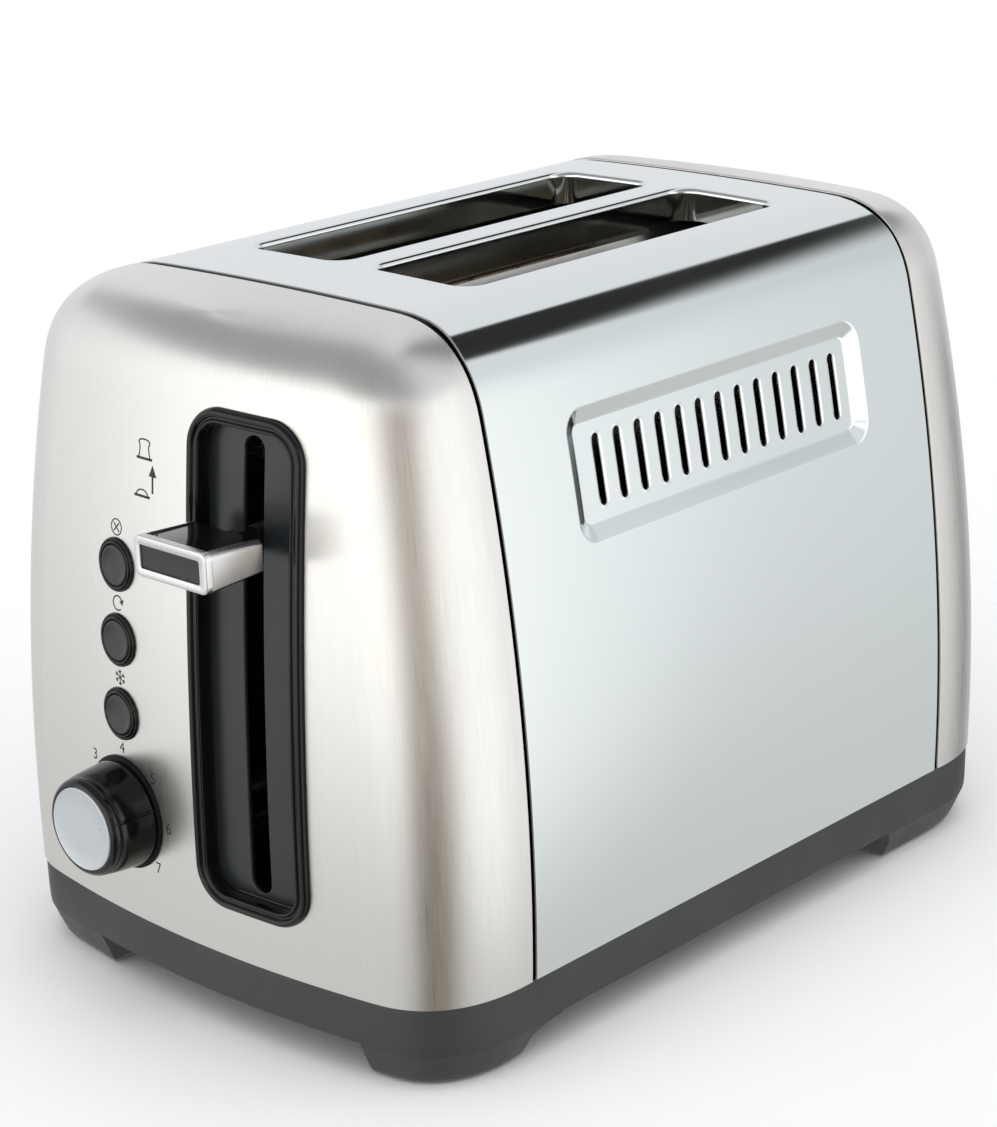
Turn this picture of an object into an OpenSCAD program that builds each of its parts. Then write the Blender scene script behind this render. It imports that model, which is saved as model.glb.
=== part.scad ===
// Two-slot pop-up toaster, built as separate pieces.
// Body coordinates, used by every piece module: x is centred, y runs back from
// the front cap's seam, z runs up from the lower edge of the steel.
// placed() then moves them so that the part stands on z = 0, centred in its box.

/* [Steel body] */
// Widest width of the steel body
body_w = 176; // [170:1:182]
// Height of the steel, without the base
steel_h = 174; // [172:1:176]
// Distance between the two cap seams
seam_pitch = 185; // [184:1:190]
// How far each end cap bulges past its seam
cap_depth = 40.9; // [39:0.1:42]
// Height above the steel's lower edge where the body is widest
belly_z = 22; // [15:1:30]
// Radius of the bowed sides, seen from the front
side_bow_r = 620; // [600:10:800]
// Radius of the arched top, seen from the front
crown_r = 1640; // [1400:10:2400]
// Radius of the bowed front, seen from above
face_bow_r = 368; // [350:1:500]
// Radius of the bowed front, seen from the side
face_lean_r = 1190; // [1100:10:1600]
// Size of the rounding along the long edges and at the cap corners
edge_r = 24; // [22:0.5:26]
// Power of the rounding: 2 is a circle, more is squarer
edge_power = 2.6; // [2.2:0.1:3]
// Thickness of the cap sheet
cap_wall = 1.2; // [1:0.1:1.4]
// Thickness of the wrap shell's sheet
shell_wall = 1.0; // [0.8:0.1:1.1]
// How far the shell's ends sit in from the caps' outline, under the caps
shell_step = 1.6; // [1.5:0.1:1.8]
// How far the shell's visible part stands out from its ends
shell_jog = 1.5; // [1.2:0.1:1.5]
// How far the wrap shell reaches under each cap
shell_lap = 3; // [2:0.5:4]

/* [Base] */
// Height of the steel's lower edge above the ground
base_h = 24.5; // [24.5:0.5:26]
// Height of the plastic band
band_h = 14; // [14:0.5:15]
// Gap between the plastic feet and the ground, filled by the pads
pad_show = 0.8; // [0.6:0.1:1]
// Radius of a foot pad
pad_r = 7; // [5:0.5:8]

/* [Bread slots] */
// Inner edge of each bread slot, from the centre
slot_in = 5.5; // [5.5:0.1:6]
// Outer edge of each bread slot, from the centre
slot_out = 42; // [41:0.5:42]
// Front end of the bread slots
slot_y0 = 31; // [31:1:33]
// Length of the bread slots
slot_len = 132; // [128:1:132]
// Corner radius of a bread slot
slot_r = 6; // [4:0.5:7]

/* [Side vents] */
// Rear end of the vent dish
vent_y1 = 155.8; // [154:0.1:157]
// Length of the vent dish
vent_len = 126; // [124:1:128]
// Lower edge of the vent dish
vent_z0 = 110; // [108:1:112]
// Height of the vent dish
vent_h = 35.8; // [35:0.1:37]
// Depth of the vent dish
vent_deep = 2.5; // [2:0.5:3]
// Number of louvres
louvre_n = 13; // [9:1:13]
// Distance between louvres
louvre_pitch = 8.48; // [8:0.02:8.6]
// Height of a louvre
louvre_h = 19.4; // [16:0.2:20]
// Width of a louvre
louvre_w = 2.2; // [1.6:0.1:2.4]

/* [Controls] */
// Sideways place of the lever slot
lever_x = 25.4; // [25:0.1:26]
// Height of the middle of the lever at rest
lever_z = 118.2; // [116:0.1:119]
// Reach of the lever in front of the seam
lever_reach = 60.2; // [60:0.1:61]
// Width of the lever
lever_w = 27.2; // [25:0.1:28]
// How far the lever's middle lies left of its slot
lever_shift = 1.1; // [0:0.1:1.5]
// Height of the lever at its front
lever_h = 11; // [10:0.1:11.2]
// How far the lever's middle lies below its arm
lever_drop = 0.4; // [0:0.1:0.5]
// Width of the lever bezel
bezel_w = 40; // [39:0.5:41]
// Height of the lever bezel
bezel_h = 136.6; // [136:0.1:138]
// Height of the bezel's middle
bezel_z = 82.9; // [82.5:0.1:83.3]
// Corner radius of the bezel
bezel_r = 11; // [9:0.5:12]
// Sideways place of the buttons
button_x = -24.7; // [-25.4:0.1:-24]
// Height of the lowest button
button_z0 = 59.6; // [59:0.1:61]
// Distance between buttons
button_pitch = 21.05; // [20:0.05:21.1]
// Radius of a button's ring
ring_r = 7.5; // [7:0.1:8]
// Sideways place of the knob
knob_x = -25.3; // [-26:0.1:-25]
// Height of the knob
knob_z = 30.8; // [30:0.1:31]
// Reach of the knob in front of the face
knob_reach = 15.8; // [14:0.1:16]

/* [Travel] */
// How far the lever goes down
lever_down = 80; // [70:1:80]
// How far the lever lifts above rest
lever_lift = 18; // [10:1:18]

/* [Hidden] */
$fn = 48;
tiny = 0.01;
half_body = body_w / 2;
half_seam = seam_pitch / 2;
corner_z = steel_h - edge_r;
tray_proud = 1.3;
rear_reach = cap_depth + tray_proud;
body_y = (lever_reach - rear_reach) / 2 - half_seam;
slot_y1 = slot_y0 + slot_len;
slot_x = (slot_in + slot_out) / 2;
vent_y0 = vent_y1 - vent_len;
rear_y = seam_pitch + cap_depth;
// Pieces of the heating chamber
frame_t = 1.2;
frame_y0 = 18;
frame_y1 = 174.2;
frame_w = 132;
frame_top = 158;
plate_y = 8;
plate_t = 2;
plate_z0 = 96;
plate_z1 = 122;
rod_x = 6;
rod_y = 3;
rod_r = 3;
rod_fit = 0.05;
rack_z = 108;
spring_x = -15;
spring_wire = 1;
spring_r = 3.6;
board_y = -16;
switch_y = -21;
floor_z0 = -12;
floor_z1 = -10;
tray_half = 52;
tray_z0 = -9;
tray_z1 = -3;
gland_x = 62;

// Places a piece in the part's frame
module placed() { translate([0, body_y, base_h]) children(); }

// Flat shapes pushed along Y and along X
module along_y(y0, y1) { translate([0, y1, 0]) rotate([90, 0, 0]) linear_extrude(y1 - y0) children(); }
module along_x(x0, x1) { translate([x0, 0, 0]) rotate([90, 0, 90]) linear_extrude(x1 - x0) children(); }
module rod_y_dir(y0, y1, r) { translate([0, y1, 0]) rotate([90, 0, 0]) cylinder(r = r, h = y1 - y0); }
module box(lo, hi) { translate(lo) cube(hi - lo); }

// Rectangle with round corners, from its low corner to its high corner
module round_rect(lo, hi, r) {
    translate([lo[0] + r, lo[1]]) square([hi[0] - lo[0] - 2 * r, hi[1] - lo[1]]);
    translate([lo[0], lo[1] + r]) square([hi[0] - lo[0], hi[1] - lo[1] - 2 * r]);
    for (x = [lo[0] + r, hi[0] - r], y = [lo[1] + r, hi[1] - r]) translate([x, y]) circle(r);
}

// The body's form: half width at a height, and the drop of its arched top
function half_w(z, inset) = half_body - inset - pow(z - belly_z, 2) / (2 * side_bow_r);
function crown_drop(x, z) = x * x / (2 * crown_r) * max(0, z) / steel_h;
function rounding(g) = pow(max(0, 1 - pow(min(1, g), edge_power)), 1 / edge_power);
function over_edge(z, inset) = max(0, (z - corner_z) / (edge_r - inset));
function half_at(z, inset) =
    half_w(z, inset) - (edge_r - inset) * (1 - rounding(over_edge(z, inset)));
// Depth of an end cap's face in front of its seam, away from the rounding and with it
function face_depth(x, z, inset) = cap_depth - inset - x * x / (2 * face_bow_r)
    - pow(z - belly_z, 2) * (z > belly_z ? 1 : 0.3) / (2 * face_lean_r);
function edge_g(x, z, inset) = pow(
    pow(max(0, 1 - (half_w(z, inset) - abs(x)) / (edge_r - inset)), edge_power)
    + pow(over_edge(z, inset), edge_power), 1 / edge_power);
function cap_y(x, z, inset) = face_depth(x, z, inset) * rounding(edge_g(x, z, inset));
function face_y(x, z) = -face_depth(x, z, 0);

// Heights of the section's rows, and the spread of its columns
rows_low = 7;
rows_round = 7;
function row_z(j, inset) = j <= rows_low
    ? corner_z * j / rows_low
    : corner_z + (edge_r - inset) * pow(sin(90 * (j - rows_low) / rows_round), 2 / edge_power);
cols_flat = 4;
cols_round = 6;
cols = cols_flat + cols_round;
edge_share = edge_r / half_body;
function col_u(i) = i <= cols_flat
    ? (1 - edge_share) * i / cols_flat
    : 1 - edge_share + edge_share * pow(sin(90 * (i - cols_flat) / cols_round), 2 / edge_power);
function col_at(i) = i < 0 ? -col_u(-i) : col_u(i);
rows = rows_low + rows_round;

// Front view of the body, as a flat outline
function section(inset) = let (n = 8) concat(
    [for (j = [0:rows]) [half_at(row_z(j, inset), inset), row_z(j, inset)
        - crown_drop(half_at(row_z(j, inset), inset), row_z(j, inset))]],
    [for (k = [1:n - 1]) let (z = row_z(rows, inset), x = half_at(z, inset) * (1 - 2 * k / n))
        [x, z - crown_drop(x, z)]],
    [for (j = [rows:-1:0]) [-half_at(row_z(j, inset), inset), row_z(j, inset)
        - crown_drop(half_at(row_z(j, inset), inset), row_z(j, inset))]]);
module section_bar(y0, y1, inset) { along_y(y0, y1) polygon(section(inset)); }

// Plan view of the body at the steel's lower edge, as a flat outline
plan_n = 12;
function plan_x(k, inset) = half_w(0, inset) - (edge_r - inset)
    + (edge_r - inset) * pow(sin(90 * k / plan_n), 2 / edge_power);
function plan_right(inset) = concat(
    [for (k = [0:3]) let (x = plan_x(0, inset) * k / 4) [x, -face_depth(x, 0, inset)]],
    [for (k = [0:plan_n]) let (x = plan_x(k, inset)) [x, -cap_y(x, 0, inset)]]);
function backwards(list) = [for (i = [len(list) - 1:-1:0]) list[i]];
function plan(inset) = let (half = plan_right(inset), n = len(half)) concat(
    half,
    [for (p = backwards(half)) [p[0], seam_pitch - p[1]]],
    [for (i = [1:n - 1]) [-half[i][0], seam_pitch - half[i][1]]],
    [for (i = [n - 1:-1:1]) [-half[i][0], half[i][1]]]);

// Solid end cap: a bulged front over the body's section, closed at the seam.
// A cutter reaches past the seam and below the steel's lower edge.
function cap_point(i, j, inset, low) = let (
    z = j == 0 ? low : row_z(j, inset), x = half_at(z, inset) * col_at(i))
    [x, -cap_y(x, z, inset), z - crown_drop(x, z)];
module cap_solid(inset, cutter = false) {
    wide = 2 * cols + 1;
    low = cutter ? -1 : 0;
    front = [for (j = [0:rows], i = [-cols:cols]) cap_point(i, j, inset, low)];
    rim = concat(
        [for (j = [0:rows]) j * wide],
        [for (i = [1:wide - 2]) rows * wide + i],
        [for (j = [rows:-1:0]) j * wide + wide - 1]);
    first = len(front);
    back_depth = cutter ? 1 : 0.02;
    back = [for (r = rim) [front[r][0], back_depth, front[r][2]]];
    low_back = len(rim);
    polyhedron(
        points = concat(front, back),
        faces = [for (f = concat(
            [for (j = [0:rows - 1], i = [0:wide - 2]) let (a = j * wide + i)
                [a, a + 1, a + wide + 1]],
            [for (j = [0:rows - 1], i = [0:wide - 2]) let (a = j * wide + i)
                [a, a + wide + 1, a + wide]],
            [for (k = [0:low_back - 2]) [rim[k], rim[k + 1], first + k + 1]],
            [for (k = [0:low_back - 2]) [rim[k], first + k + 1, first + k]],
            [concat([first, first + low_back - 1], [for (i = [wide - 1:-1:0]) i])],
            [[for (k = [0:low_back - 1]) first + k]])) backwards(f)]);
}

// The layer of a cap between two insets, over a flat outline in the front view
module cap_layer(outer, inner) {
    difference() {
        cap_solid(outer);
        cap_solid(inner, cutter = true);
    }
}
module on_face(outer, inner) {
    intersection() {
        cap_layer(outer, inner);
        along_y(-cap_depth - 8, -10) children();
    }
}
module at_rear() { translate([0, seam_pitch, 0]) mirror([0, 1, 0]) children(); }

module bezel_outline(grow) {
    round_rect([lever_x - bezel_w / 2 - grow, bezel_z - bezel_h / 2 - grow],
        [lever_x + bezel_w / 2 + grow, bezel_z + bezel_h / 2 + grow], bezel_r + grow);
}
slot_w = 6.8;
slot_z0 = bezel_z - 62.6;
slot_z1 = bezel_z + 61.7;
module lever_slot_outline() {
    round_rect([lever_x - slot_w / 2, slot_z0], [lever_x + slot_w / 2, slot_z1], slot_w / 2 - tiny);
}
module bread_slot_outline(side, grow) {
    mirror([side < 0 ? 1 : 0, 0])
        round_rect([slot_in - grow, slot_y0 - grow], [slot_out + grow, slot_y1 + grow], slot_r + grow);
}
module vent_outline(grow) {
    round_rect([vent_y0 - grow, vent_z0 - grow], [vent_y1 + grow, vent_z0 + vent_h + grow], 7 + grow);
}

// Base: a band under the steel, a floor, four corner feet and posts for the frames
foot_in_left = 43;
foot_in_right = 58.5;
foot_long = 21;
foot_short = -1;
foot_sweep = 14;
foot_draft = 4.5;
band_inset = 0.5;
band_wall = 3;
foot_z = -base_h + pad_show;
foot_n = 7;
screw_r = 1.8;
gland_z = -6.5;
gland_r = 3.9;
function foot_ring(x_in, y_end, last, inset, z) = concat(
    [[x_in, -cap_y(x_in, 0, inset), z]],
    [for (k = [0:foot_n]) let (a = last * k / foot_n, er = edge_r - inset,
        x = half_w(0, inset) - er + er * pow(sin(a), 2 / edge_power)) [x, -cap_y(x, 0, inset), z]],
    [[half_w(0, inset), y_end, z], [x_in, y_end, z]]);
// Share of a foot's height, then how far its rear wall has come in: a hollow
// curve under the band that straightens towards the sole
foot_curve = [[0, 0], [0.22, 0.04], [0.26, 0.39], [0.33, 0.64], [0.45, 0.82], [0.7, 0.87], [1, 1]];
module foot(x_in, y_top, y_low, last) {
    n = foot_n + 4;
    stages = len(foot_curve);
    polyhedron(
        points = [for (c = foot_curve) each foot_ring(
            x_in, y_top + (y_low - y_top) * c[1], 90 + (last - 90) * c[0],
            band_inset + 0.8 + (foot_draft - 0.8) * c[0],
            floor_z0 + 0.5 + (foot_z - floor_z0 - 0.5) * c[0])],
        faces = concat(
            [[for (i = [n - 1:-1:0]) i]],
            [[for (i = [0:n - 1]) (stages - 1) * n + i]],
            [for (k = [0:stages - 2], i = [0:n - 1])
                [k * n + i, k * n + (i + 1) % n, (k + 1) * n + (i + 1) % n]],
            [for (k = [0:stages - 2], i = [0:n - 1])
                [k * n + i, (k + 1) * n + (i + 1) % n, (k + 1) * n + i]]));
}
module feet() {
    foot(foot_in_right, foot_short + foot_sweep, foot_short, 78);
    mirror([1, 0, 0]) foot(foot_in_left, foot_short + foot_sweep, foot_short, 78);
    for (m = [0, 1])
        mirror([m, 0, 0]) at_rear() foot(foot_in_right, foot_long + 4, foot_long, 90);
}
pad_spots = [[68, -17], [-62, -17], [68, seam_pitch + 14], [-68, seam_pitch + 14]];
flange_x = 62;
screw_spots = [for (x = [-flange_x, flange_x], y = [frame_y0 + 6, frame_y1 - 6]) [x, y]];
module base() placed() color("#3d3f41") {
    difference() {
        union() {
            difference() {
                translate([0, 0, -band_h]) linear_extrude(band_h) polygon(plan(band_inset));
                translate([0, 0, -band_h - 1]) linear_extrude(band_h + 2)
                    polygon(plan(band_inset + band_wall));
            }
            translate([0, 0, floor_z0]) linear_extrude(floor_z1 - floor_z0)
                polygon(plan(band_inset + 1));
            feet();
            for (s = [-1, 1]) {
                box([s * flange_x - 7, frame_y0 - 6, floor_z1 - tiny], [s * flange_x + 7, frame_y0 + 11, 0]);
                box([s * flange_x - 7, frame_y1 - 11, floor_z1 - tiny], [s * flange_x + 7, frame_y1 + 6, 0]);
                box([s * 54 - 1, 32, floor_z1 - tiny], [s * 54 + 1, rear_y - 8, -2]);
            }
            translate([rod_x, rod_y, floor_z1 - tiny]) cylinder(r = 7, h = 8);
            box([-24, 0, floor_z1 - tiny], [-6, 16, 0]);
            box([-46, board_y - 2, floor_z1 - tiny], [-2, board_y + 3.6, 0]);
            box([38, 2, floor_z1 - tiny], [54, 14, 0]);
        }
        box([-tray_half - 1, seam_pitch + 10, tray_z0 - 0.4], [tray_half + 1, rear_y + 5, tray_z1 + 0.6]);
        translate([rod_x, rod_y, floor_z1 + 1]) cylinder(r = rod_r, h = 20);
        for (p = screw_spots) translate([p[0], p[1], floor_z0 - 1]) {
            cylinder(r = screw_r, h = 20);
            cylinder(r = 4, h = 2);
        }
        for (p = pad_spots) translate([p[0], p[1], foot_z - 1]) cylinder(r = pad_r, h = 2.2);
        translate([gland_x, 0, gland_z]) rod_y_dir(rear_y - 15, rear_y + 5, gland_r);
    }
}
module foot_pads() placed() color("#1e1e1f")
    for (p = pad_spots) translate([p[0], p[1], -base_h]) cylinder(r = pad_r, h = 1.2 + pad_show);
module base_screws() placed() color("silver")
    for (p = screw_spots) translate([p[0], p[1], floor_z0 - 1])
        difference() {
            union() {
                cylinder(r = 3.7, h = 2);
                cylinder(r = screw_r, h = 1 - floor_z0 + frame_t);
            }
            for (a = [0, 90]) rotate(a) box([-2.2, -0.4, -1], [2.2, 0.4, 0.9]);
        }

// Crumb tray: a shallow pan that slides out at the back, and its grip
module crumb_tray() placed() color("#b9bcbe") difference() {
    box([-tray_half, frame_y0 + 8, tray_z0], [tray_half, rear_y - 12, tray_z1]);
    box([-tray_half + 1, frame_y0 + 9, tray_z0 + 1], [tray_half - 1, rear_y - 13, tray_z1 + 1]);
}
module tray_handle() placed() color("#3d3f41") intersection() {
    translate([0, 0, tray_z0]) linear_extrude(tray_z1 - tray_z0) polygon(plan(-tray_proud));
    difference() {
        box([-tray_half, rear_y - 12, tray_z0 - 1], [tray_half, rear_y + 5, tray_z1 + 1]);
        box([-24, rear_y - 8, tray_z0 - 2], [24, rear_y - 3.5, tray_z1 - 1.6]);
    }
}
module cord_gland() placed() color("#2a2b2c") translate([gland_x, 0, gland_z]) difference() {
    union() {
        rod_y_dir(rear_y - 14, rear_y - 4, gland_r);
        rod_y_dir(rear_y - 4.6, rear_y - 2.3, gland_r + 1.5);
    }
    rod_y_dir(rear_y - 20, rear_y + 5, 3);
}
module terminal_block() placed() color("#d8d4c6") difference() {
    box([56, 184, floor_z1], [76, 200, 6]);
    for (x = [61, 71]) {
        translate([x, 192, -2]) cylinder(r = 2.2, h = 10);
        translate([x, 0, 0]) rod_y_dir(180, 204, 1.6);
    }
}

// Wrap shell: one bent sheet for both sides and the top, with rolled slot edges
module sheet(y0, y1, outer, inner) {
    difference() {
        section_bar(y0, y1, outer);
        translate([0, 0, -tiny]) section_bar(y0 - 1, y1 + 1, inner);
    }
}
jog_y = 1.2;
module wrap_shell() placed() color("#c9ccce") {
    skin = shell_step - shell_jog;
    deep = skin + vent_deep;
    difference() {
        union() {
            sheet(jog_y, seam_pitch - jog_y, skin, skin + shell_wall);
            sheet(-shell_lap, jog_y + tiny, shell_step, shell_step + shell_wall);
            sheet(jog_y, jog_y + shell_wall, skin, shell_step + shell_wall);
            at_rear() {
                sheet(-shell_lap, jog_y + tiny, shell_step, shell_step + shell_wall);
                sheet(jog_y, jog_y + shell_wall, skin, shell_step + shell_wall);
            }
            intersection() {
                sheet(vent_y0 - 8, vent_y1 + 8, skin, deep + shell_wall);
                along_x(-half_body, half_body) vent_outline(shell_wall);
            }
            intersection() {
                section_bar(slot_y0 - 9, slot_y1 + 9, skin);
                for (s = [-1, 1]) translate([0, 0, steel_h - 11]) linear_extrude(12)
                    difference() {
                        bread_slot_outline(s, shell_wall);
                        bread_slot_outline(s, 0);
                    }
            }
        }
        difference() {
            along_x(-half_body - 1, half_body + 1) vent_outline(0);
            section_bar(vent_y0 - 9, vent_y1 + 9, deep);
        }
        for (s = [-1, 1]) translate([0, 0, steel_h - 12]) linear_extrude(14)
            bread_slot_outline(s, 0);
        for (k = [0:louvre_n - 1]) let (y = half_seam + (k - (louvre_n - 1) / 2) * louvre_pitch,
            z = vent_z0 + vent_h / 2)
            for (s = [-1, 1]) along_x(s > 0 ? 60 : -half_body - 1, s > 0 ? half_body + 1 : -60)
                round_rect([y - louvre_w / 2, z - louvre_h / 2], [y + louvre_w / 2, z + louvre_h / 2],
                    louvre_w / 2 - tiny);
    }
}
module front_cap() placed() color("#d4d3cf") difference() {
    cap_layer(0, cap_wall);
    along_y(-cap_depth - 5, -10) bezel_outline(-2.5);
    for (k = [0:2]) translate([button_x, 0, button_z0 + k * button_pitch])
        rod_y_dir(-cap_depth - 5, -10, ring_r - 1.2);
    translate([knob_x, 0, knob_z]) rod_y_dir(-cap_depth - 5, -10, 5);
}
module rear_cap() placed() color("#d4d3cf") at_rear() cap_layer(0, cap_wall);

// Lever bezel: a glossy rim with a deep wall, and the slotted panel at its bottom
bezel_proud = 2;
bezel_deep = 3;
rim_w = 4.3;
module lever_bezel() placed() color("#101011") {
    on_face(-bezel_proud, -0.02) difference() {
        bezel_outline(0);
        bezel_outline(-rim_w);
    }
    on_face(-1, bezel_deep + 2) difference() {
        bezel_outline(-2.6);
        bezel_outline(-rim_w);
    }
}
module lever_panel() placed() color("#41464a") on_face(bezel_deep, bezel_deep + 1.6) difference() {
    bezel_outline(-rim_w - 0.02);
    lever_slot_outline();
}

// Buttons, each on a stem in a fixed ring
button_r = ring_r - 1.9;
button_proud = 1.4;
module button(k) {
    z = button_z0 + k * button_pitch;
    face = face_y(button_x, z);
    translate([button_x, 0, z]) {
        rod_y_dir(face - button_proud, face + 4, button_r);
        rod_y_dir(face - button_proud, switch_y - 2.3, 2.2);
    }
}
module button_rings() placed() color("#1b1b1c") for (k = [0:2])
    let (z = button_z0 + k * button_pitch, face = face_y(button_x, z))
        difference() {
            union() {
                on_face(-1.2, -0.02) translate([button_x, z]) circle(ring_r);
                translate([button_x, 0, z]) rod_y_dir(face - 0.5, face + 5, ring_r - 1.3);
            }
            translate([button_x, 0, z]) rod_y_dir(face - 5, face + 8, button_r + 0.15);
        }
module defrost_button() placed() color("#2b2b2d") button(0);
module reheat_button() placed() color("#2b2b2d") button(1);
module cancel_button() placed() color("#2b2b2d") button(2);

// Browning knob: a tapered cup on the control's shaft
knob_face = face_y(knob_x, knob_z) - knob_reach;
knob_back = face_y(knob_x, knob_z) - 1.9;
shaft_r = 3;
module at_knob() { translate([knob_x, 0, knob_z]) children(); }
module knob_turned() {
    translate([0, knob_face, 0]) rotate([-90, 0, 0]) rotate_extrude($fn = 96) children();
}
knob_rest = 18;
module knob() placed() color("#0e0e0f") at_knob() {
    depth = knob_back - knob_face;
    difference() {
        knob_turned() polygon([[0, 1.1], [11.85, 1.1], [11.95, 0.2], [12.2, 0.1], [12.7, 0.3],
            [13.3, 0.8], [13.7, 1.5], [13.9, 2.3], [13.95, 3.2], [15.1, depth - 0.6],
            [15, depth], [12.6, depth], [12, 4], [0, 4]]);
        rotate([0, -knob_rest, 0]) box([13.5, knob_face + 3, -0.7], [16, knob_back - 0.8, 0.7]);
    }
    difference() {
        rod_y_dir(knob_face + 3.9, knob_back - 0.5, 5);
        rod_y_dir(knob_face + 3, knob_back + 1, shaft_r);
    }
}
module knob_disc() placed() color("#c3cbcd") at_knob() knob_turned()
    polygon([[0, 0], [11.5, 0], [11.8, 0.3], [11.8, 1.1], [0, 1.1]]);
module knob_flange() placed() color("#1b1b1c") on_face(-1, -0.02) translate([knob_x, knob_z])
    difference() {
        circle(16.1);
        circle(6);
    }
module pot_shaft() placed() color("#8f9294") at_knob() rod_y_dir(knob_face + 4, board_y - 3, shaft_r);
module pot_body() placed() color("#5b5e60") at_knob() difference() {
    union() {
        rod_y_dir(board_y - 8, board_y, 8);
        rod_y_dir(board_y - 14, board_y - 7.9, 4.5);
    }
    rod_y_dir(board_y - 20, board_y - 2.9, shaft_r + rod_fit);
}
module control_board() placed() color("#2f6b3f") difference() {
    box([-46, board_y, 0], [-2, board_y + 1.6, 118]);
    for (z = post_z) translate([post_x, 0, z]) rod_y_dir(board_y - 1, board_y + 3, 1.6);
}
post_x = -40;
post_z = [14, 112];
module board_posts() placed() color("#8f9294") for (z = post_z) translate([post_x, 0, z]) {
    rod_y_dir(board_y, board_y + 2, 1.6);
    rod_y_dir(board_y - 1.5, board_y, 3);
    rod_y_dir(board_y + 1.6, frame_y0, 3);
}
module button_switches() placed() color("#303234") for (k = [0:2])
    translate([button_x, 0, button_z0 + k * button_pitch]) {
        box([-3, switch_y + 1, -3], [3, board_y, 3]);
        rod_y_dir(switch_y, switch_y + 1.1, 1.8);
    }

// Heating chamber: two end frames, a top plate, side reflectors and heater boards
rack_slot = 2.2;
rack_low = rack_z - 8 - lever_down - 4;
rack_high = rack_z + lever_lift + 4;
module frame_plate() {
    difference() {
        union() {
            box([-frame_w / 2, 0, 0], [frame_w / 2, frame_t, frame_top]);
            for (s = [-1, 1]) {
                box([s * flange_x - 4, 0, 0], [s * flange_x + 4, 10, frame_t]);
                box([s * flange_x - 4, 0, frame_top - frame_t], [s * flange_x + 4, 10, frame_top]);
            }
        }
        for (s = [-1, 1]) {
            along_y(-1, frame_t + 1) round_rect([s * slot_x - rack_slot, rack_low],
                [s * slot_x + rack_slot, rack_high], rack_slot - tiny);
            translate([s * flange_x, 6, -1]) cylinder(r = screw_r, h = frame_top + 2);
        }
    }
}
module front_frame() placed() color("#a9adaf") translate([0, frame_y0, 0]) frame_plate();
module rear_frame() placed() color("#a9adaf") translate([0, frame_y1, 0]) mirror([0, 1, 0]) frame_plate();
module chamber_top() placed() color("#a9adaf") translate([0, 0, frame_top]) linear_extrude(frame_t)
    difference() {
        union() {
            translate([-frame_w / 2, frame_y0]) square([frame_w, frame_y1 - frame_y0]);
            translate([spring_x - 9, -4]) square([rod_x + 18 - spring_x, frame_y0 + 5]);
        }
        for (s = [-1, 1]) bread_slot_outline(s, 1.5);
        for (p = screw_spots) translate(p) circle(screw_r);
    }
module frame_screws() placed() color("silver") for (p = screw_spots)
    translate([p[0], p[1], frame_top + frame_t]) difference() {
        union() {
            translate([0, 0, -6]) cylinder(r = screw_r, h = 7);
            cylinder(r = 3.4, h = 1.8);
        }
        for (a = [0, 90]) rotate(a) box([-2, -0.4, 1], [2, 0.4, 2]);
    }
reflector_x = 52;
module reflector(s) {
    box([s * reflector_x - 0.4, frame_y0 + frame_t, 1.4],
        [s * reflector_x + 0.4, frame_y1 - frame_t, frame_top - 0.1]);
}
module reflector_left() placed() color("#b4b7b8") reflector(-1);
module reflector_right() placed() color("#b4b7b8") reflector(1);
heater_x = 47;
heater_z0 = 20;
heater_z1 = 148;
mica_t = 1;
module mica(x) {
    box([x - mica_t / 2, frame_y0 + frame_t, heater_z0], [x + mica_t / 2, frame_y1 - frame_t, heater_z1]);
}
module heater_board_left() placed() color("#c9b48a") mica(-heater_x);
module heater_board_center() placed() color("#c9b48a") mica(0);
module heater_board_right() placed() color("#c9b48a") mica(heater_x);
// One face of heater ribbon: upright runs joined at top and bottom in turn
ribbon_n = 12;
ribbon_pitch = 10.6;
ribbon_w = 1.4;
module ribbon(x) {
    y0 = slot_y0 + slot_len / 2 - ribbon_pitch * (ribbon_n - 1) / 2;
    for (k = [0:ribbon_n - 1]) let (y = y0 + k * ribbon_pitch, top = k % 2 == 0) {
        box([x - 0.25, y - ribbon_w / 2, heater_z0 + 6], [x + 0.25, y + ribbon_w / 2, heater_z1 - 6]);
        if (k < ribbon_n - 1)
            box([x - 0.25, y - ribbon_w / 2, top ? heater_z1 - 6 - ribbon_w : heater_z0 + 6],
                [x + 0.25, y + ribbon_pitch + ribbon_w / 2, top ? heater_z1 - 6 : heater_z0 + 6 + ribbon_w]);
    }
}
module heater_wires() placed() color("#8c7a6a")
    for (x = [-heater_x + 0.75, -0.75, 0.75, heater_x - 0.75]) ribbon(x);

// Bread guards: wire grids that close in on the slice as the lever goes down
guard_in = 8;
guard_out = 39.5;
guard_n = 7;
guard_pitch = 21;
guard_z0 = 24;
guard_z1 = 149;
module guard(x) {
    for (k = [0:guard_n - 1]) translate([x, slot_y0 + slot_len / 2 + (k - (guard_n - 1) / 2) * guard_pitch,
        guard_z0]) cylinder(r = 0.8, h = guard_z1 - guard_z0, $fn = 16);
    for (z = [guard_z0, guard_z1]) translate([x, 0, z])
        rod_y_dir(frame_y0 + 3, frame_y1 - 3, 1.1, $fn = 16);
}
module guard_left_outer() placed() color("#b0b3b5") guard(-guard_out);
module guard_left_inner() placed() color("#b0b3b5") guard(-guard_in);
module guard_right_inner() placed() color("#b0b3b5") guard(guard_in);
module guard_right_outer() placed() color("#b0b3b5") guard(guard_out);

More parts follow.
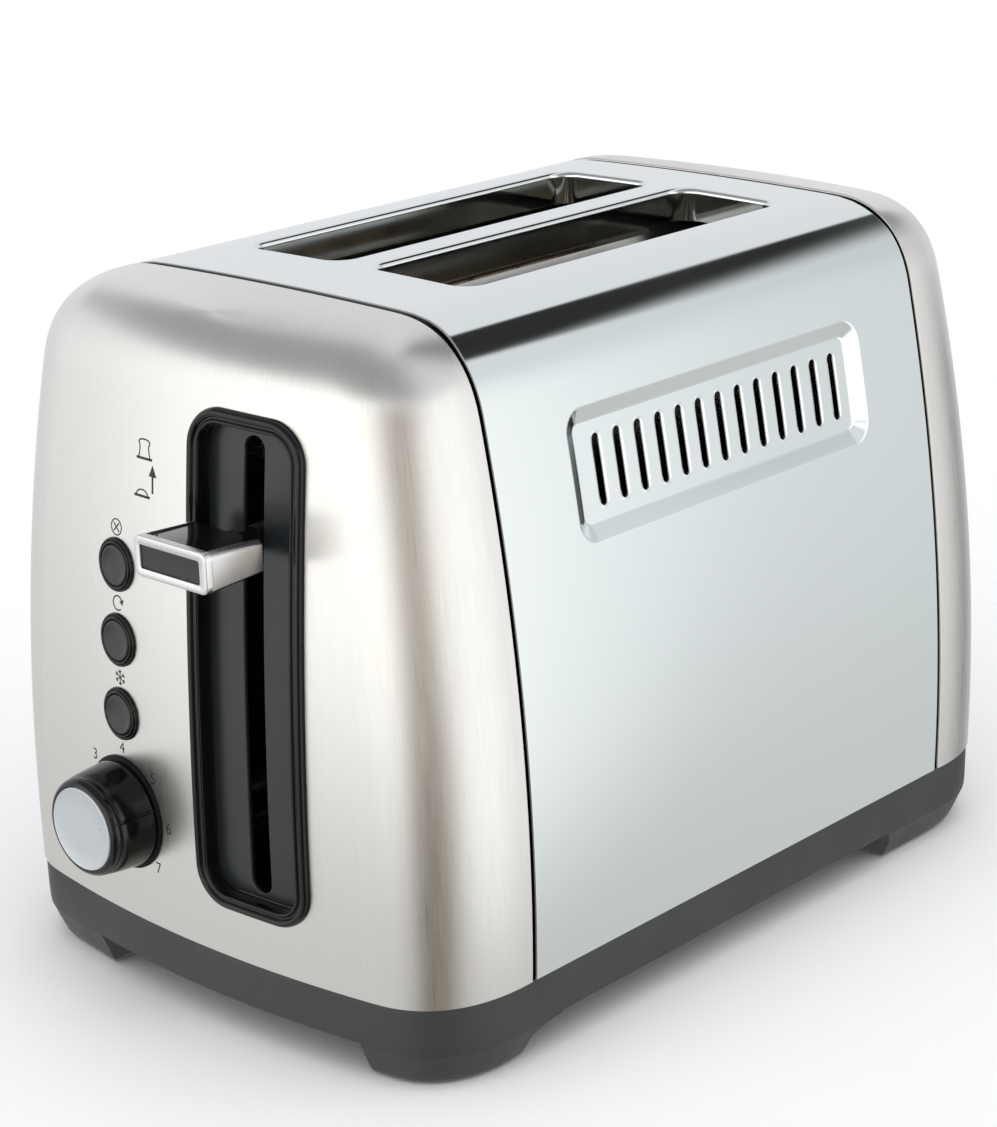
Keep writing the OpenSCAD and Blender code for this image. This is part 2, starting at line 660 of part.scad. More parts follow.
// Carriage: a plate that rides on the guide rod, the bread racks and the lever
module guide_rod() placed() color("#c9cccd") translate([rod_x, rod_y, floor_z1 + 1])
    cylinder(r = rod_r, h = frame_top - floor_z1 - 1);
module carriage_plate() placed() color("#a4a8aa") difference() {
    union() {
        box([-34, plate_y, plate_z0], [34, plate_y + plate_t, plate_z1]);
        translate([rod_x, rod_y, plate_z0 - 2]) cylinder(r = 5, h = plate_z1 - plate_z0 + 6);
        box([rod_x - 3, rod_y, plate_z0], [rod_x + 3, plate_y + tiny, plate_z1]);
    }
    translate([rod_x, rod_y, plate_z0 - 5]) cylinder(r = rod_r + rod_fit, h = 50);
}
module rack(s) {
    translate([s * slot_x, 0, 0]) {
        box([-1.2, plate_y + plate_t, rack_z - 8], [1.2, frame_y1 + 4, rack_z]);
        for (k = [0:8]) let (y = slot_y0 + 6 + 15 * k) box([-7.5, y - 1, rack_z - 2], [7.5, y + 1, rack_z]);
    }
}
module rack_left() placed() color("#a4a8aa") rack(-1);
module rack_right() placed() color("#a4a8aa") rack(1);
module keeper_plate() placed() color("#6e7173") box([-23, 1, plate_z0], [-7, plate_y, plate_z0 + 2.5]);
neck_y = -34;
grip_y = -lever_reach + 18.8;
grip_x = lever_x - lever_shift;
grip_z = lever_z - lever_drop;
module lever_arm() placed() color("#a4a8aa")
    box([lever_x - 1.5, neck_y, lever_z - 3], [lever_x + 1.5, plate_y, lever_z + 3]);
// Side view of the lever, tapering towards the slot
lever_taper = 1.1;
module lever_side(inset) {
    h = lever_h / 2 - inset;
    polygon([[-lever_reach, grip_z - h], [grip_y, grip_z - h + lever_taper],
        [grip_y, grip_z + h - lever_taper], [-lever_reach, grip_z + h]]);
}
frame_band = 1.6;
module lever_plan(inset, r) {
    translate([0, 0, lever_z - lever_h]) linear_extrude(2 * lever_h)
        difference() {
            round_rect([grip_x - lever_w / 2 + inset, -lever_reach + inset],
                [grip_x + lever_w / 2 - inset, grip_y + 10], r);
            translate([lever_x - lever_w, grip_y]) square([2 * lever_w, 20]);
        }
}
module lever_frame() placed() color("#d5d7d9") difference() {
    intersection() {
        along_x(lever_x - lever_w, lever_x + lever_w) lever_side(0);
        lever_plan(0, 2.4);
    }
    lever_plan(frame_band, 0.9);
    along_y(-lever_reach - 1, -lever_reach + 5) lever_window(0);
}
module lever_window(grow) {
    round_rect([grip_x - lever_w / 2 + 2.3 + grow, grip_z - 3.4 + grow],
        [grip_x + lever_w / 2 - 2.3 - grow, grip_z + 3.4 - grow], 0.6);
}
module lever_inset() placed() color("#2c2d30")
    along_y(-lever_reach + 0.3, -lever_reach + frame_band) lever_window(0.02);
module lever_grip() placed() color("#0e0e0f") {
    intersection() {
        along_x(lever_x - lever_w, lever_x + lever_w) lever_side(0.25);
        lever_plan(frame_band, 0.9);
    }
    box([lever_x - 2.6, grip_y - 1, lever_z - 3.2], [lever_x + 2.6, neck_y, lever_z + 3.2]);
}
// Lift spring: pulls the carriage up to its stop
spring_turns = 9;
spring_steps = 10;
module lift_spring() placed() color("#c9cccd") {
    sides = 6;
    n = spring_turns * spring_steps;
    rise = (frame_top - plate_z1 - 2 * spring_wire) / n;
    ring = function (k) [for (s = [0:sides - 1])
        let (r = spring_r + spring_wire / 2 * cos(360 * s / sides), a = 360 * k / spring_steps)
        [r * cos(a), r * sin(a), rise * k + spring_wire + spring_wire / 2 * sin(360 * s / sides)]];
    translate([spring_x, plate_y + 1, plate_z1]) polyhedron(
        points = [for (k = [0:n]) each ring(k)],
        faces = concat(
            [[for (s = [0:sides - 1]) s]],
            [[for (s = [sides - 1:-1:0]) n * sides + s]],
            [for (k = [0:n - 1], s = [0:sides - 1])
                [k * sides + s, (k + 1) * sides + s, k * sides + (s + 1) % sides]],
            [for (k = [0:n - 1], s = [0:sides - 1])
                [k * sides + (s + 1) % sides, (k + 1) * sides + s, (k + 1) * sides + (s + 1) % sides]]));
}
// Holding magnet and the mains contacts under the carriage
magnet_top = plate_z0 - lever_down - 0.8;
module magnet_core() placed() color("#6e7173") {
    box([-23, 2, 0], [-7, 12, 3]);
    for (x = [[-23, -20.5], [-17, -13], [-9.5, -7]]) box([x[0], 2, 3 - tiny], [x[1], 12, magnet_top]);
}
module magnet_coil() placed() color("#b5622f") difference() {
    box([-20, -0.5, 3.2], [-10, 14.5, magnet_top - 1.5]);
    box([-17, 2, 3], [-13, 12, magnet_top]);
}
module contact_block() placed() color("#d8d4c6") difference() {
    box([39, 3, 0], [53, 13, 22]);
    for (y = [5, 10]) box([38, y - 0.8, 12], [50, y + 0.8, 13]);
}
module contact_leaves() placed() color("#c08a4a") for (y = [5, 10])
    box([27, y - 0.8, 12.2], [50, y + 0.8, 12.8]);

base();
foot_pads();
base_screws();
crumb_tray();
tray_handle();
cord_gland();
terminal_block();
wrap_shell();
front_cap();
rear_cap();
lever_bezel();
lever_panel();
button_rings();
knob_flange();
front_frame();
rear_frame();
chamber_top();
reflector_left();
reflector_right();
heater_board_left();
heater_board_center();
heater_board_right();
heater_wires();
guard_left_outer();
guard_left_inner();
guard_right_inner();
guard_right_outer();
guide_rod();
lift_spring();
magnet_core();
magnet_coil();
contact_block();
contact_leaves();
control_board();
board_posts();
button_switches();
pot_body();
carriage_plate();
rack_left();
rack_right();
keeper_plate();
lever_arm();
lever_grip();
lever_frame();
lever_inset();
cancel_button();
reheat_button();
defrost_button();
pot_shaft();
knob();
knob_disc();
frame_screws();
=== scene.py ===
"""Looks of a two-slot pop-up toaster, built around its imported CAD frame.

Pieces are made in millimetres in body coordinates, as in the CAD: x is centred,
y runs back from the front cap's seam, z runs up from the steel's lower edge.
to_frame() turns them into the row frame's metres.
"""
import math

import bmesh
import bpy
import numpy as np
from mathutils import Matrix, Vector
from mathutils.geometry import delaunay_2d_cdt
from mathutils.kdtree import KDTree


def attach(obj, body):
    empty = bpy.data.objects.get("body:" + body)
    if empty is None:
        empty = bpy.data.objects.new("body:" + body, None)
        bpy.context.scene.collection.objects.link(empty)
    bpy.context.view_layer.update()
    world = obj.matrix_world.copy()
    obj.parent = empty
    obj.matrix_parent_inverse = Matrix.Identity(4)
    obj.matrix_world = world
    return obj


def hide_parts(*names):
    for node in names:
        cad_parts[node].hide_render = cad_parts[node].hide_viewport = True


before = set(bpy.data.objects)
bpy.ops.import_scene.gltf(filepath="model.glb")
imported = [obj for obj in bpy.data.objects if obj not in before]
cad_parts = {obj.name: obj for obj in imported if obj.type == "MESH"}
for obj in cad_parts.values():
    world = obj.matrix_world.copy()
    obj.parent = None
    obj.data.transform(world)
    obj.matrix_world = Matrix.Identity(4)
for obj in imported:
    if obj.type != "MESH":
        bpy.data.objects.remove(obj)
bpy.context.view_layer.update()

# ---------------------------------------------------------------- sizes (mm)
BODY_Y = -83.5
BASE_H = 24.5
HALF_BODY = 88.0
STEEL_H = 174.0
SEAM = 185.0
CAP_DEPTH = 40.9
BELLY_Z = 22.0
SIDE_BOW = 620.0
CROWN_R = 1640.0
FACE_BOW = 368.0
FACE_LEAN = 1190.0
EDGE_R = 24.0
POWER = 2.6
CORNER_Z = STEEL_H - EDGE_R
CAP_WALL = 1.2
SHELL_WALL = 1.0
# The sheet's ends go under the caps at SHELL_STEP and step up by SHELL_JOG, JOG_RISE long,
# at JOG_Y from the seam and ROOF_GAP further on the roof
SHELL_STEP = 1.6
SHELL_JOG = 1.5
JOG_Y, JOG_RISE, ROOF_GAP = 1.2, 0.75, 1.3
SHELL_LAP = 3.0
SLOT_IN, SLOT_OUT, SLOT_Y0, SLOT_Y1, SLOT_R = 5.5, 42.0, 31.0, 163.0, 6.0
SLOT_FILLET = 1.7
# Vent dishes: corners in (y, z), depth, and the length and rounded share of their sloping sides
VENT_LOW, VENT_HIGH, VENT_R, VENT_DEEP = (29.8, 110.0), (155.8, 145.8), 7.0, 2.5
VENT_RUN, VENT_ROUND = 5.0, 0.14
LOUVRES, LOUVRE_PITCH, LOUVRE_H, LOUVRE_W = 13, 8.48, 19.4, 2.8
LOUVRE_Y, LOUVRE_Z = 94.0, (VENT_LOW[1] + VENT_HIGH[1]) / 2
LOUVRE_R, LIP_RUN = LOUVRE_W / 2 - 0.01, 0.6
BEZEL_X, BEZEL_Z, BEZEL_W, BEZEL_H, BEZEL_R = 25.4, 82.9, 40.0, 136.6, 11.0
RIM_W, BEZEL_DEEP = 4.3, 3.0
LEVER_SLOT_W, LEVER_SLOT_LOW, LEVER_SLOT_HIGH = 6.8, 20.3, 144.6
BUTTON_X, BUTTON_Z, BUTTON_PITCH, RING_R = -24.7, 59.6, 21.05, 7.5
KNOB_X, KNOB_Z, KNOB_REACH, KNOB_REST = -25.3, 30.8, 15.8, 18.0


def to_frame(points):
    return (np.asarray(points, float) + [0, BODY_Y, BASE_H]) * 0.001


# ------------------------------------------------------------ the body's form
def half_w(z, inset=0.0):
    return HALF_BODY - inset - (z - BELLY_Z) ** 2 / (2 * SIDE_BOW)


def half_at(z, inset=0.0):
    edge = EDGE_R - inset
    over = np.clip((z - CORNER_Z) / edge, 0, 1)
    return half_w(z, inset) - edge * (1 - (1 - over**POWER) ** (1 / POWER))


def face_depth(x, z, inset=0.0):
    lean = np.where(z > BELLY_Z, 1.0, 0.3)
    return CAP_DEPTH - inset - x * x / (2 * FACE_BOW) - (z - BELLY_Z) ** 2 * lean / (2 * FACE_LEAN)


def face_y(x, z):
    return -face_depth(np.asarray(x, float), np.asarray(z, float))


def form_point(x, z, inset=0.0):
    """Point and outward normal of a front cap's face at (x, z), before the crown's drop."""
    edge = EDGE_R - inset
    a = np.clip(1 - (half_w(z, inset) - np.abs(x)) / edge, 0, 1)
    b = np.clip((z - CORNER_Z) / edge, 0, 1)
    q = np.clip(1 - a**POWER - b**POWER, 0, 1) ** (1 / POWER)
    depth = face_depth(x, z, inset)
    lean = np.where(z > BELLY_Z, 1.0, 0.3)
    slope_x = -x / FACE_BOW
    slope_z = -(z - BELLY_Z) * lean / FACE_LEAN
    side = a ** (POWER - 1) / edge
    nx = -(q**POWER) * slope_x / depth + side * np.sign(x)
    ny = -(q ** (POWER - 1)) / depth
    nz = -(q**POWER) * slope_z / depth + side * (z - BELLY_Z) / SIDE_BOW + b ** (POWER - 1) / edge
    return crowned(np.stack([x, -depth * q, z], -1), np.stack([nx, ny, nz], -1))


def crowned(points, normals):
    """Drops points towards the sides as the arched top does, and turns their normals with them."""
    x, z = points[..., 0], np.maximum(0, points[..., 2])
    arch = 1 - x * x / (2 * CROWN_R * STEEL_H)
    shear = -x * z / (CROWN_R * STEEL_H)
    dropped = points.copy()
    dropped[..., 2] -= x * x / (2 * CROWN_R) * z / STEEL_H
    turned = normals.copy()
    turned[..., 0] = normals[..., 0] - shear / arch * normals[..., 2]
    turned[..., 2] = normals[..., 2] / arch
    return dropped, unit(turned)


def unit(vectors):
    return vectors / np.maximum(np.linalg.norm(vectors, axis=-1, keepdims=True), 1e-12)


def smooth(t):
    return t * t * (3 - 2 * t)


def eased(t, round_share):
    """A straight ramp from 0 to 1 whose two ends are rounded over a share of its length."""
    r = round_share
    steep = 1 / (1 - r)
    first = steep * t * t / (2 * r)
    last = 1 - steep * (1 - t) ** 2 / (2 * r)
    return np.where(t < r, first, np.where(t > 1 - r, last, steep * (t - r / 2)))


def section_line(inset):
    """Front-view section from the bottom right over the top to the bottom left: points and normals."""
    edge = EDGE_R - inset
    z = np.linspace(0, CORNER_Z, 120)[:-1]
    side = np.stack([half_w(z, inset), 0 * z, z], -1)
    side_n = np.stack([0 * z + 1, 0 * z, (z - BELLY_Z) / SIDE_BOW], -1)
    turn = np.linspace(0, math.pi / 2, 160)
    a, b = np.cos(turn) ** (2 / POWER), np.sin(turn) ** (2 / POWER)
    z = CORNER_Z + edge * b
    bend = np.stack([half_w(z, inset) - edge + edge * a, 0 * z, z], -1)
    fall = a ** (POWER - 1)
    bend_n = np.stack([fall, 0 * z, fall * (z - BELLY_Z) / SIDE_BOW + b ** (POWER - 1)], -1)
    x = np.linspace(bend[-1, 0], 0, 60)[1:]
    top = np.stack([x, 0 * x, 0 * x + CORNER_Z + edge], -1)
    top_n = np.stack([0 * x, 0 * x, 0 * x + 1], -1)
    right = crowned(np.concatenate([side, bend, top]), np.concatenate([side_n, bend_n, top_n]))
    return [np.concatenate([rows, rows[-2::-1] * [-1, 1, 1]]) for rows in right]


# ------------------------------------------------------------- flat outlines
def round_rect(low, high, radius, grow=0.0, per_corner=10, along=0):
    """Closed outline, counterclockwise, whose corners keep the same points at any grow."""
    lx, ly, hx, hy = low[0] - grow, low[1] - grow, high[0] + grow, high[1] + grow
    r = max(radius + grow, 1e-3)
    corners = [(hx - r, hy - r, 0), (lx + r, hy - r, 90), (lx + r, ly + r, 180), (hx - r, ly + r, 270)]
    line = []
    for k, (cx, cy, start) in enumerate(corners):
        for a in np.linspace(start, start + 90, per_corner + 1):
            t = math.radians(a)
            line.append((cx + r * math.cos(t), cy + r * math.sin(t)))
        if along:
            nx, ny, _ = corners[(k + 1) % 4]
            t = math.radians(start + 90)
            p = np.array(line[-1])
            q = np.array((nx + r * math.cos(t), ny + r * math.sin(t)))
            for s in np.linspace(0, 1, along + 2)[1:-1]:
                line.append(tuple(p + (q - p) * s))
    return np.array(line)


def circle(cx, cy, r, count=48):
    t = np.arange(count) * 2 * math.pi / count
    return np.stack([cx + r * np.cos(t), cy + r * np.sin(t)], -1)


def rect_distance(p, low, high, radius):
    """Signed distance to a rounded rectangle, negative inside."""
    centre = (np.array(low) + high) / 2
    half = (np.array(high) - low) / 2 - radius
    d = np.abs(p - centre) - half
    outside = np.linalg.norm(np.maximum(d, 0), axis=-1)
    return outside + np.minimum(d.max(-1), 0) - radius


def inside(points, loop):
    x, y = points[:, 0], points[:, 1]
    found = np.zeros(len(points), bool)
    ax, ay = loop[-1]
    for bx, by in loop:
        cross = (ay > y) != (by > y)
        with np.errstate(divide="ignore", invalid="ignore"):
            found ^= cross & (x < (bx - ax) * (y - ay) / (by - ay) + ax)
        ax, ay = bx, by
    return found


def spin(a, b, c):
    """Twice the area of flat triangles, negative where they run clockwise."""
    return (b[:, 0] - a[:, 0]) * (c[:, 1] - a[:, 1]) - (b[:, 1] - a[:, 1]) * (c[:, 0] - a[:, 0])


def mesh_region(grid, loops, holes, gap):
    """Triangles of a flat region: grid points, lines that edges follow, and holes.
    Returns the points, the triangles, and for each loop and hole the rows its points became."""
    lines = list(loops) + list(holes)
    keep = np.ones(len(grid), bool)
    for hole in holes:
        keep &= ~inside(grid, hole)
    spaced = []
    for line in lines:
        spaced += [line + (np.roll(line, -1, 0) - line) * s for s in (0, 0.25, 0.5, 0.75)]
    spaced = np.concatenate(spaced or [np.full((1, 2), 1e6)])
    tree = KDTree(len(spaced))
    for k, p in enumerate(spaced):
        tree.insert((p[0], p[1], 0), k)
    tree.balance()
    keep &= np.array([tree.find((p[0], p[1], 0))[2] > gap for p in grid])
    points = [Vector(p) for p in grid[keep]]
    edges, rows = [], []
    for line in lines:
        first = len(points)
        rows.append(range(first, first + len(line)))
        points += [Vector(p) for p in line]
        edges += [(first + k, first + (k + 1) % len(line)) for k in range(len(line))]
    verts, _, faces, origins, _, _ = delaunay_2d_cdt(points, edges, [], 0, 1e-6)
    made = np.array([tuple(v) for v in verts])
    where = {source: k for k, sources in enumerate(origins) for source in sources}
    tris = np.array([f for f in faces if len(f) == 3])
    centres = made[tris].mean(1)
    stay = np.ones(len(tris), bool)
    for hole in holes:
        stay &= ~inside(centres, hole)
    area = spin(made[tris[:, 0]], made[tris[:, 1]], made[tris[:, 2]])
    stay &= np.abs(area) > 1e-7
    tris[area < 0] = tris[area < 0][:, ::-1]
    return made, tris[stay], [[where[k] for k in row] for row in rows]


# ------------------------------------------------------------- mesh builders
def open_edges(faces):
    """Edges with a face on one side only, in their face's direction."""
    directed = {(f[k], f[(k + 1) % len(f)]) for f in faces for k in range(len(f))}
    return [(a, b) for a, b in directed if (b, a) not in directed]


def oriented(points, normals, faces):
    """Turns each face so that it faces the way its vertices' normals point."""
    a, b, c = np.array([f[:3] for f in faces]).T
    facing = np.cross(points[b] - points[a], points[c] - points[a])
    agrees = (facing * (normals[a] + normals[b] + normals[c])).sum(1) >= 0
    return [f if same else f[::-1] for f, same in zip(faces, agrees)]


def thicken(points, normals, faces, wall, bulge):
    """Closes a sheet into a solid: an inner skin and half-round walls along its open edges.
    Also returns the row of the sheet that each point came from."""
    steps = 4
    faces = [tuple(int(i) for i in f) for f in faces]
    count = len(points)
    inner = points - normals * wall
    edges = open_edges(faces)
    out = np.zeros_like(points)
    for a, b in edges:
        side = unit(np.cross(points[b] - points[a], normals[a] + normals[b]))
        out[a] += side
        out[b] += side
    out = unit(out)
    rim = sorted({a for edge in edges for a in edge})
    place = {v: k for k, v in enumerate(rim)}
    all_points, all_normals = [points, inner], [normals, -normals]
    all_source = [np.arange(count)] * 2
    for step in range(1, steps):
        t = math.pi * step / steps
        n, o = normals[rim], out[rim]
        middle = (points[rim] + inner[rim]) / 2
        all_points.append(middle + n * wall / 2 * math.cos(t) + o * bulge * math.sin(t))
        all_normals.append(unit(n * math.cos(t) + o * math.sin(t)))
        all_source.append(np.array(rim))
    solid = faces + [tuple(i + count for i in f[::-1]) for f in faces]

    def ring(vertex, step):
        if step == 0:
            return vertex
        if step == steps:
            return vertex + count
        return 2 * count + (step - 1) * len(rim) + place[vertex]

    for a, b in edges:
        for step in range(steps):
            solid.append((ring(b, step), ring(a, step), ring(a, step + 1), ring(b, step + 1)))
    source = np.concatenate(all_source)
    return np.concatenate(all_points), np.concatenate(all_normals), solid, source


def add_piece(name, points, faces, body, material, replaces=(), normals=None, uv=None,
              sharp=None, painted_shade=None):
    """Makes a smooth-shaded object from body coordinates and ties it to the frame."""
    mesh = bpy.data.meshes.new(name)
    mesh.from_pydata(to_frame(points).tolist(), [], [tuple(int(i) for i in f) for f in faces])
    mesh.polygons.foreach_set("use_smooth", [True] * len(mesh.polygons))
    if uv is not None:
        layer = mesh.uv_layers.new(name="sheet")
        index = np.empty(len(mesh.loops), int)
        mesh.loops.foreach_get("vertex_index", index)
        layer.data.foreach_set("uv", (np.asarray(uv)[index] * 0.001).ravel())
    # A factor of painted shade per point, which the material multiplies into its colour
    if painted_shade is not None:
        layer = mesh.color_attributes.new("painted_shade", "FLOAT_COLOR", "POINT")
        layer.data.foreach_set("color", np.repeat(np.asarray(painted_shade, float), 4))
    if normals is not None:
        mesh.normals_split_custom_set_from_vertices(np.asarray(normals).tolist())
    elif sharp is not None:
        mesh.set_sharp_from_angle(angle=math.radians(sharp))
    piece = bpy.data.objects.new(name, mesh)
    bpy.context.scene.collection.objects.link(piece)
    mesh.materials.append(material)
    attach(piece, body)
    if replaces:
        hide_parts(*replaces)
    return piece


def bridge(near, far):
    """Quads between two closed rings of point numbers."""
    count = len(near)
    return [(near[i - 1], near[i], far[i], far[i - 1]) for i in [*range(1, count), 0]]


def loft(rings, capped=False):
    """Quads between closed rings of the same number of points."""
    count = len(rings[0])
    numbers = [range(k * count, (k + 1) * count) for k in range(len(rings))]
    faces = []
    for near, far in zip(numbers, numbers[1:]):
        faces += bridge(near, far)
    if capped:
        faces += [tuple(numbers[0])[::-1], tuple(numbers[-1])]
    return np.concatenate(rings), faces


def turned_ring(cx, cz, radius, y, angles):
    """Ring round a line along y; its radius may change on the way round."""
    x, z = cx + radius * np.cos(angles), cz + radius * np.sin(angles)
    return np.stack([x, np.full_like(angles, y), z], -1)


def upright(outline, y):
    """A front-view outline as a ring at y."""
    return np.stack([outline[:, 0], np.full(len(outline), y), outline[:, 1]], -1)


def join(parts):
    """Several (points, faces) as one."""
    points, faces, first = [], [], 0
    for p, f in parts:
        points.append(p)
        faces += [tuple(i + first for i in face) for face in f]
        first += len(p)
    return np.concatenate(points), faces


# ----------------------------------------------------------------- materials
def new_material(name, color, metallic=0.0, roughness=0.5, specular=0.5, anisotropic=0.0):
    material = bpy.data.materials.new(name)
    material.use_nodes = True
    shader = material.node_tree.nodes["Principled BSDF"]
    shader.inputs["Base Color"].default_value = (*color, 1)
    shader.inputs["Metallic"].default_value = metallic
    shader.inputs["Roughness"].default_value = roughness
    shader.inputs["Specular IOR Level"].default_value = specular
    shader.inputs["Anisotropic"].default_value = anisotropic
    return material


def add_node(tree, kind, **values):
    """A shader node; a value that is a socket is linked, and anything else is set."""
    node = tree.nodes.new("ShaderNode" + kind)
    for name, value in values.items():
        socket = node.inputs[name.replace("_", " ")]
        if isinstance(value, bpy.types.NodeSocket):
            tree.links.new(value, socket)
        else:
            socket.default_value = value
    return node


def feed(material, output, name):
    """Links an output to an input of the material's shader."""
    tree = material.node_tree
    tree.links.new(output, tree.nodes["Principled BSDF"].inputs[name])


def stretched_noise(material, source, scale, detail=3.0):
    """Noise on coordinates stretched by scale; source is 'UV' or 'Object'."""
    tree = material.node_tree
    coords = add_node(tree, "TexCoord")
    stretch = add_node(tree, "Mapping", Vector=coords.outputs[source], Scale=scale)
    noise = add_node(tree, "TexNoise", Vector=stretch.outputs["Vector"], Scale=1.0, Detail=detail)
    return noise.outputs["Fac"]


# The part of a noise's range that a roughness or colour change is spread over
NOISE_LOW, NOISE_HIGH = 0.3, 0.7


def drive_roughness(material, noise, low, high):
    remap = add_node(material.node_tree, "MapRange", Value=noise, From_Min=NOISE_LOW,
                     From_Max=NOISE_HIGH, To_Min=low, To_Max=high)
    feed(material, remap.outputs["Result"], "Roughness")


def drive_color(material, noise, low, high):
    ramp = add_node(material.node_tree, "ValToRGB", Fac=noise)
    ends = ramp.color_ramp.elements
    ends[0].position, ends[1].position = NOISE_LOW, NOISE_HIGH
    ends[0].color, ends[1].color = (*low, 1), (*high, 1)
    feed(material, ramp.outputs["Color"], "Base Color")


def drive_bump(material, noise, height):
    bump = add_node(material.node_tree, "Bump", Height=noise, Strength=1.0, Distance=height)
    feed(material, bump.outputs["Normal"], "Normal")


def brushed_cap_steel():
    """Brushed sheet with upright lines; its highlights spread sideways."""
    material = new_material("brushed_steel", (0.80, 0.79, 0.765), 1.0, 0.30, anisotropic=0.7)
    tangent = add_node(material.node_tree, "Tangent")
    tangent.direction_type = "RADIAL"
    tangent.axis = "Z"
    feed(material, tangent.outputs["Tangent"], "Tangent")
    lines = stretched_noise(material, "UV", (3200, 60, 1), 4.0)
    drive_roughness(material, lines, 0.27, 0.35)
    drive_bump(material, lines, 0.000006)
    tint = stretched_noise(material, "UV", (900, 14, 1), 2.0)
    drive_color(material, tint, (0.795, 0.785, 0.76), (0.815, 0.805, 0.78))
    return material


def mix_colors(tree, blend, share, first, second):
    """Mixes two colours, of which any may be a socket; returns the output."""
    mix = tree.nodes.new("ShaderNodeMix")
    mix.data_type = "RGBA"
    mix.blend_type = blend
    a, b = [socket for socket in mix.inputs if socket.type == "RGBA"]
    for socket, value in ((mix.inputs["Factor"], share), (a, first), (b, second)):
        if isinstance(value, bpy.types.NodeSocket):
            tree.links.new(value, socket)
        else:
            socket.default_value = value
    return [socket for socket in mix.outputs if socket.type == "RGBA"][0]


def polished_shell_steel():
    """Polished sheet with the faint wave and haze that rolled steel keeps; its colour is darkened by the
    painted shade that the sheet's points carry.
    """
    color = (0.795, 0.84, 0.83)
    material = new_material("polished_steel", color, 1.0, 0.07)
    haze = stretched_noise(material, "UV", (14, 9, 1), 3.0)
    drive_roughness(material, haze, 0.05, 0.12)
    wave = stretched_noise(material, "UV", (9, 5, 1), 1.0)
    drive_bump(material, wave, 0.00006)
    # Painted shade: a factor per point darkens the colour in the sheet's gaps to the caps and on its cut
    # edges
    painted_shade = add_node(material.node_tree, "VertexColor")
    painted_shade.layer_name = "painted_shade"
    shaded = mix_colors(material.node_tree, "MULTIPLY", 1, (*color, 1), painted_shade.outputs["Color"])
    feed(material, shaded, "Base Color")
    return material


def rough_and_grained(material, roughness, change, grain, height):
    """A slow change in gloss, by a share either way, and a fine grain."""
    gloss = stretched_noise(material, "Object", (60, 60, 60))
    drive_roughness(material, gloss, roughness * (1 - change), roughness * (1 + change))
    drive_bump(material, stretched_noise(material, "Object", (grain, grain, grain), 2.0), height)
    return material


def moulded(name, color, roughness, grain=2600.0, height=0.00002, specular=0.5):
    """Moulded plastic."""
    material = new_material(name, color, 0.0, roughness, specular)
    return rough_and_grained(material, roughness, 0.15, grain, height)


def painted(name, color, metallic, roughness):
    """Paint or print."""
    material = new_material(name, color, metallic, roughness)
    return rough_and_grained(material, roughness, 0.1, 2600, 0.000003)


def metal(name, color, roughness, stretch=(30, 900, 30), height=0.000006):
    """Drawn or rolled metal with lines along one axis."""
    material = new_material(name, color, 1.0, roughness)
    lines = stretched_noise(material, "Object", stretch)
    drive_roughness(material, lines, roughness * 0.8, roughness * 1.25)
    drive_bump(material, lines, height)
    return material


brushed = brushed_cap_steel()
polished = polished_shell_steel()
charcoal = moulded("charcoal_plastic", (0.033, 0.0345, 0.036), 0.5, 3000, 0.00003)
gloss_black = moulded("black_gloss", (0.004, 0.004, 0.0045), 0.08, 300, 0.000003, 0.4)
knob_black = moulded("knob_black", (0.004, 0.004, 0.0045), 0.13, 900, 0.000003, 0.5)
deep_black = moulded("deep_black", (0.004, 0.004, 0.004), 0.5, 900, 0.00001, 0.15)
slate = moulded("slate_panel", (0.0130, 0.0160, 0.0185), 0.30, 2400, 0.000008)
satin_black = moulded("button_black", (0.022, 0.022, 0.023), 0.34, 2600, 0.00001)
inset_black = moulded("lever_black", (0.018, 0.018, 0.020), 0.28, 1200, 0.000004)
dark_plastic = moulded("dark_plastic", (0.02, 0.02, 0.022), 0.45)
rubber = moulded("rubber", (0.012, 0.012, 0.012), 0.8, 1500, 0.00005)
ceramic = moulded("ceramic", (0.68, 0.64, 0.55), 0.55, 900, 0.00002)
mica = moulded("mica", (0.40, 0.30, 0.17), 0.45, 500, 0.00003)
board_green = moulded("board_green", (0.02, 0.12, 0.05), 0.4, 700, 0.00001)
ink = painted("ink", (0.03, 0.03, 0.03), 0.0, 0.5)
lever_chrome = metal("lever_chrome", (0.80, 0.80, 0.81), 0.26, (1500, 60, 60), 0.000006)
knob_silver = painted("knob_silver", (0.56, 0.60, 0.63), 0.55, 0.36)
guard_steel = metal("guard_wire", (0.62, 0.62, 0.62), 0.28, (60, 60, 900))
chamber_steel = metal("chamber_steel", (0.46, 0.45, 0.43), 0.38, (900, 30, 30))
reflector_steel = metal("reflector_steel", (0.62, 0.60, 0.56), 0.22, (30, 900, 30))
rod_steel = metal("rod_steel", (0.66, 0.67, 0.68), 0.2, (40, 40, 900))
heater_ribbon = metal("heater_ribbon", (0.27, 0.22, 0.19), 0.5)
magnet_iron = metal("magnet_iron", (0.30, 0.30, 0.30), 0.5)
copper = metal("copper", (0.62, 0.28, 0.14), 0.35)
tray_steel = metal("tray_steel", (0.66, 0.66, 0.66), 0.3, (900, 30, 30))
zinc = metal("zinc_screw", (0.60, 0.60, 0.58), 0.32)
pot_metal = metal("pot_metal", (0.4, 0.4, 0.41), 0.4)


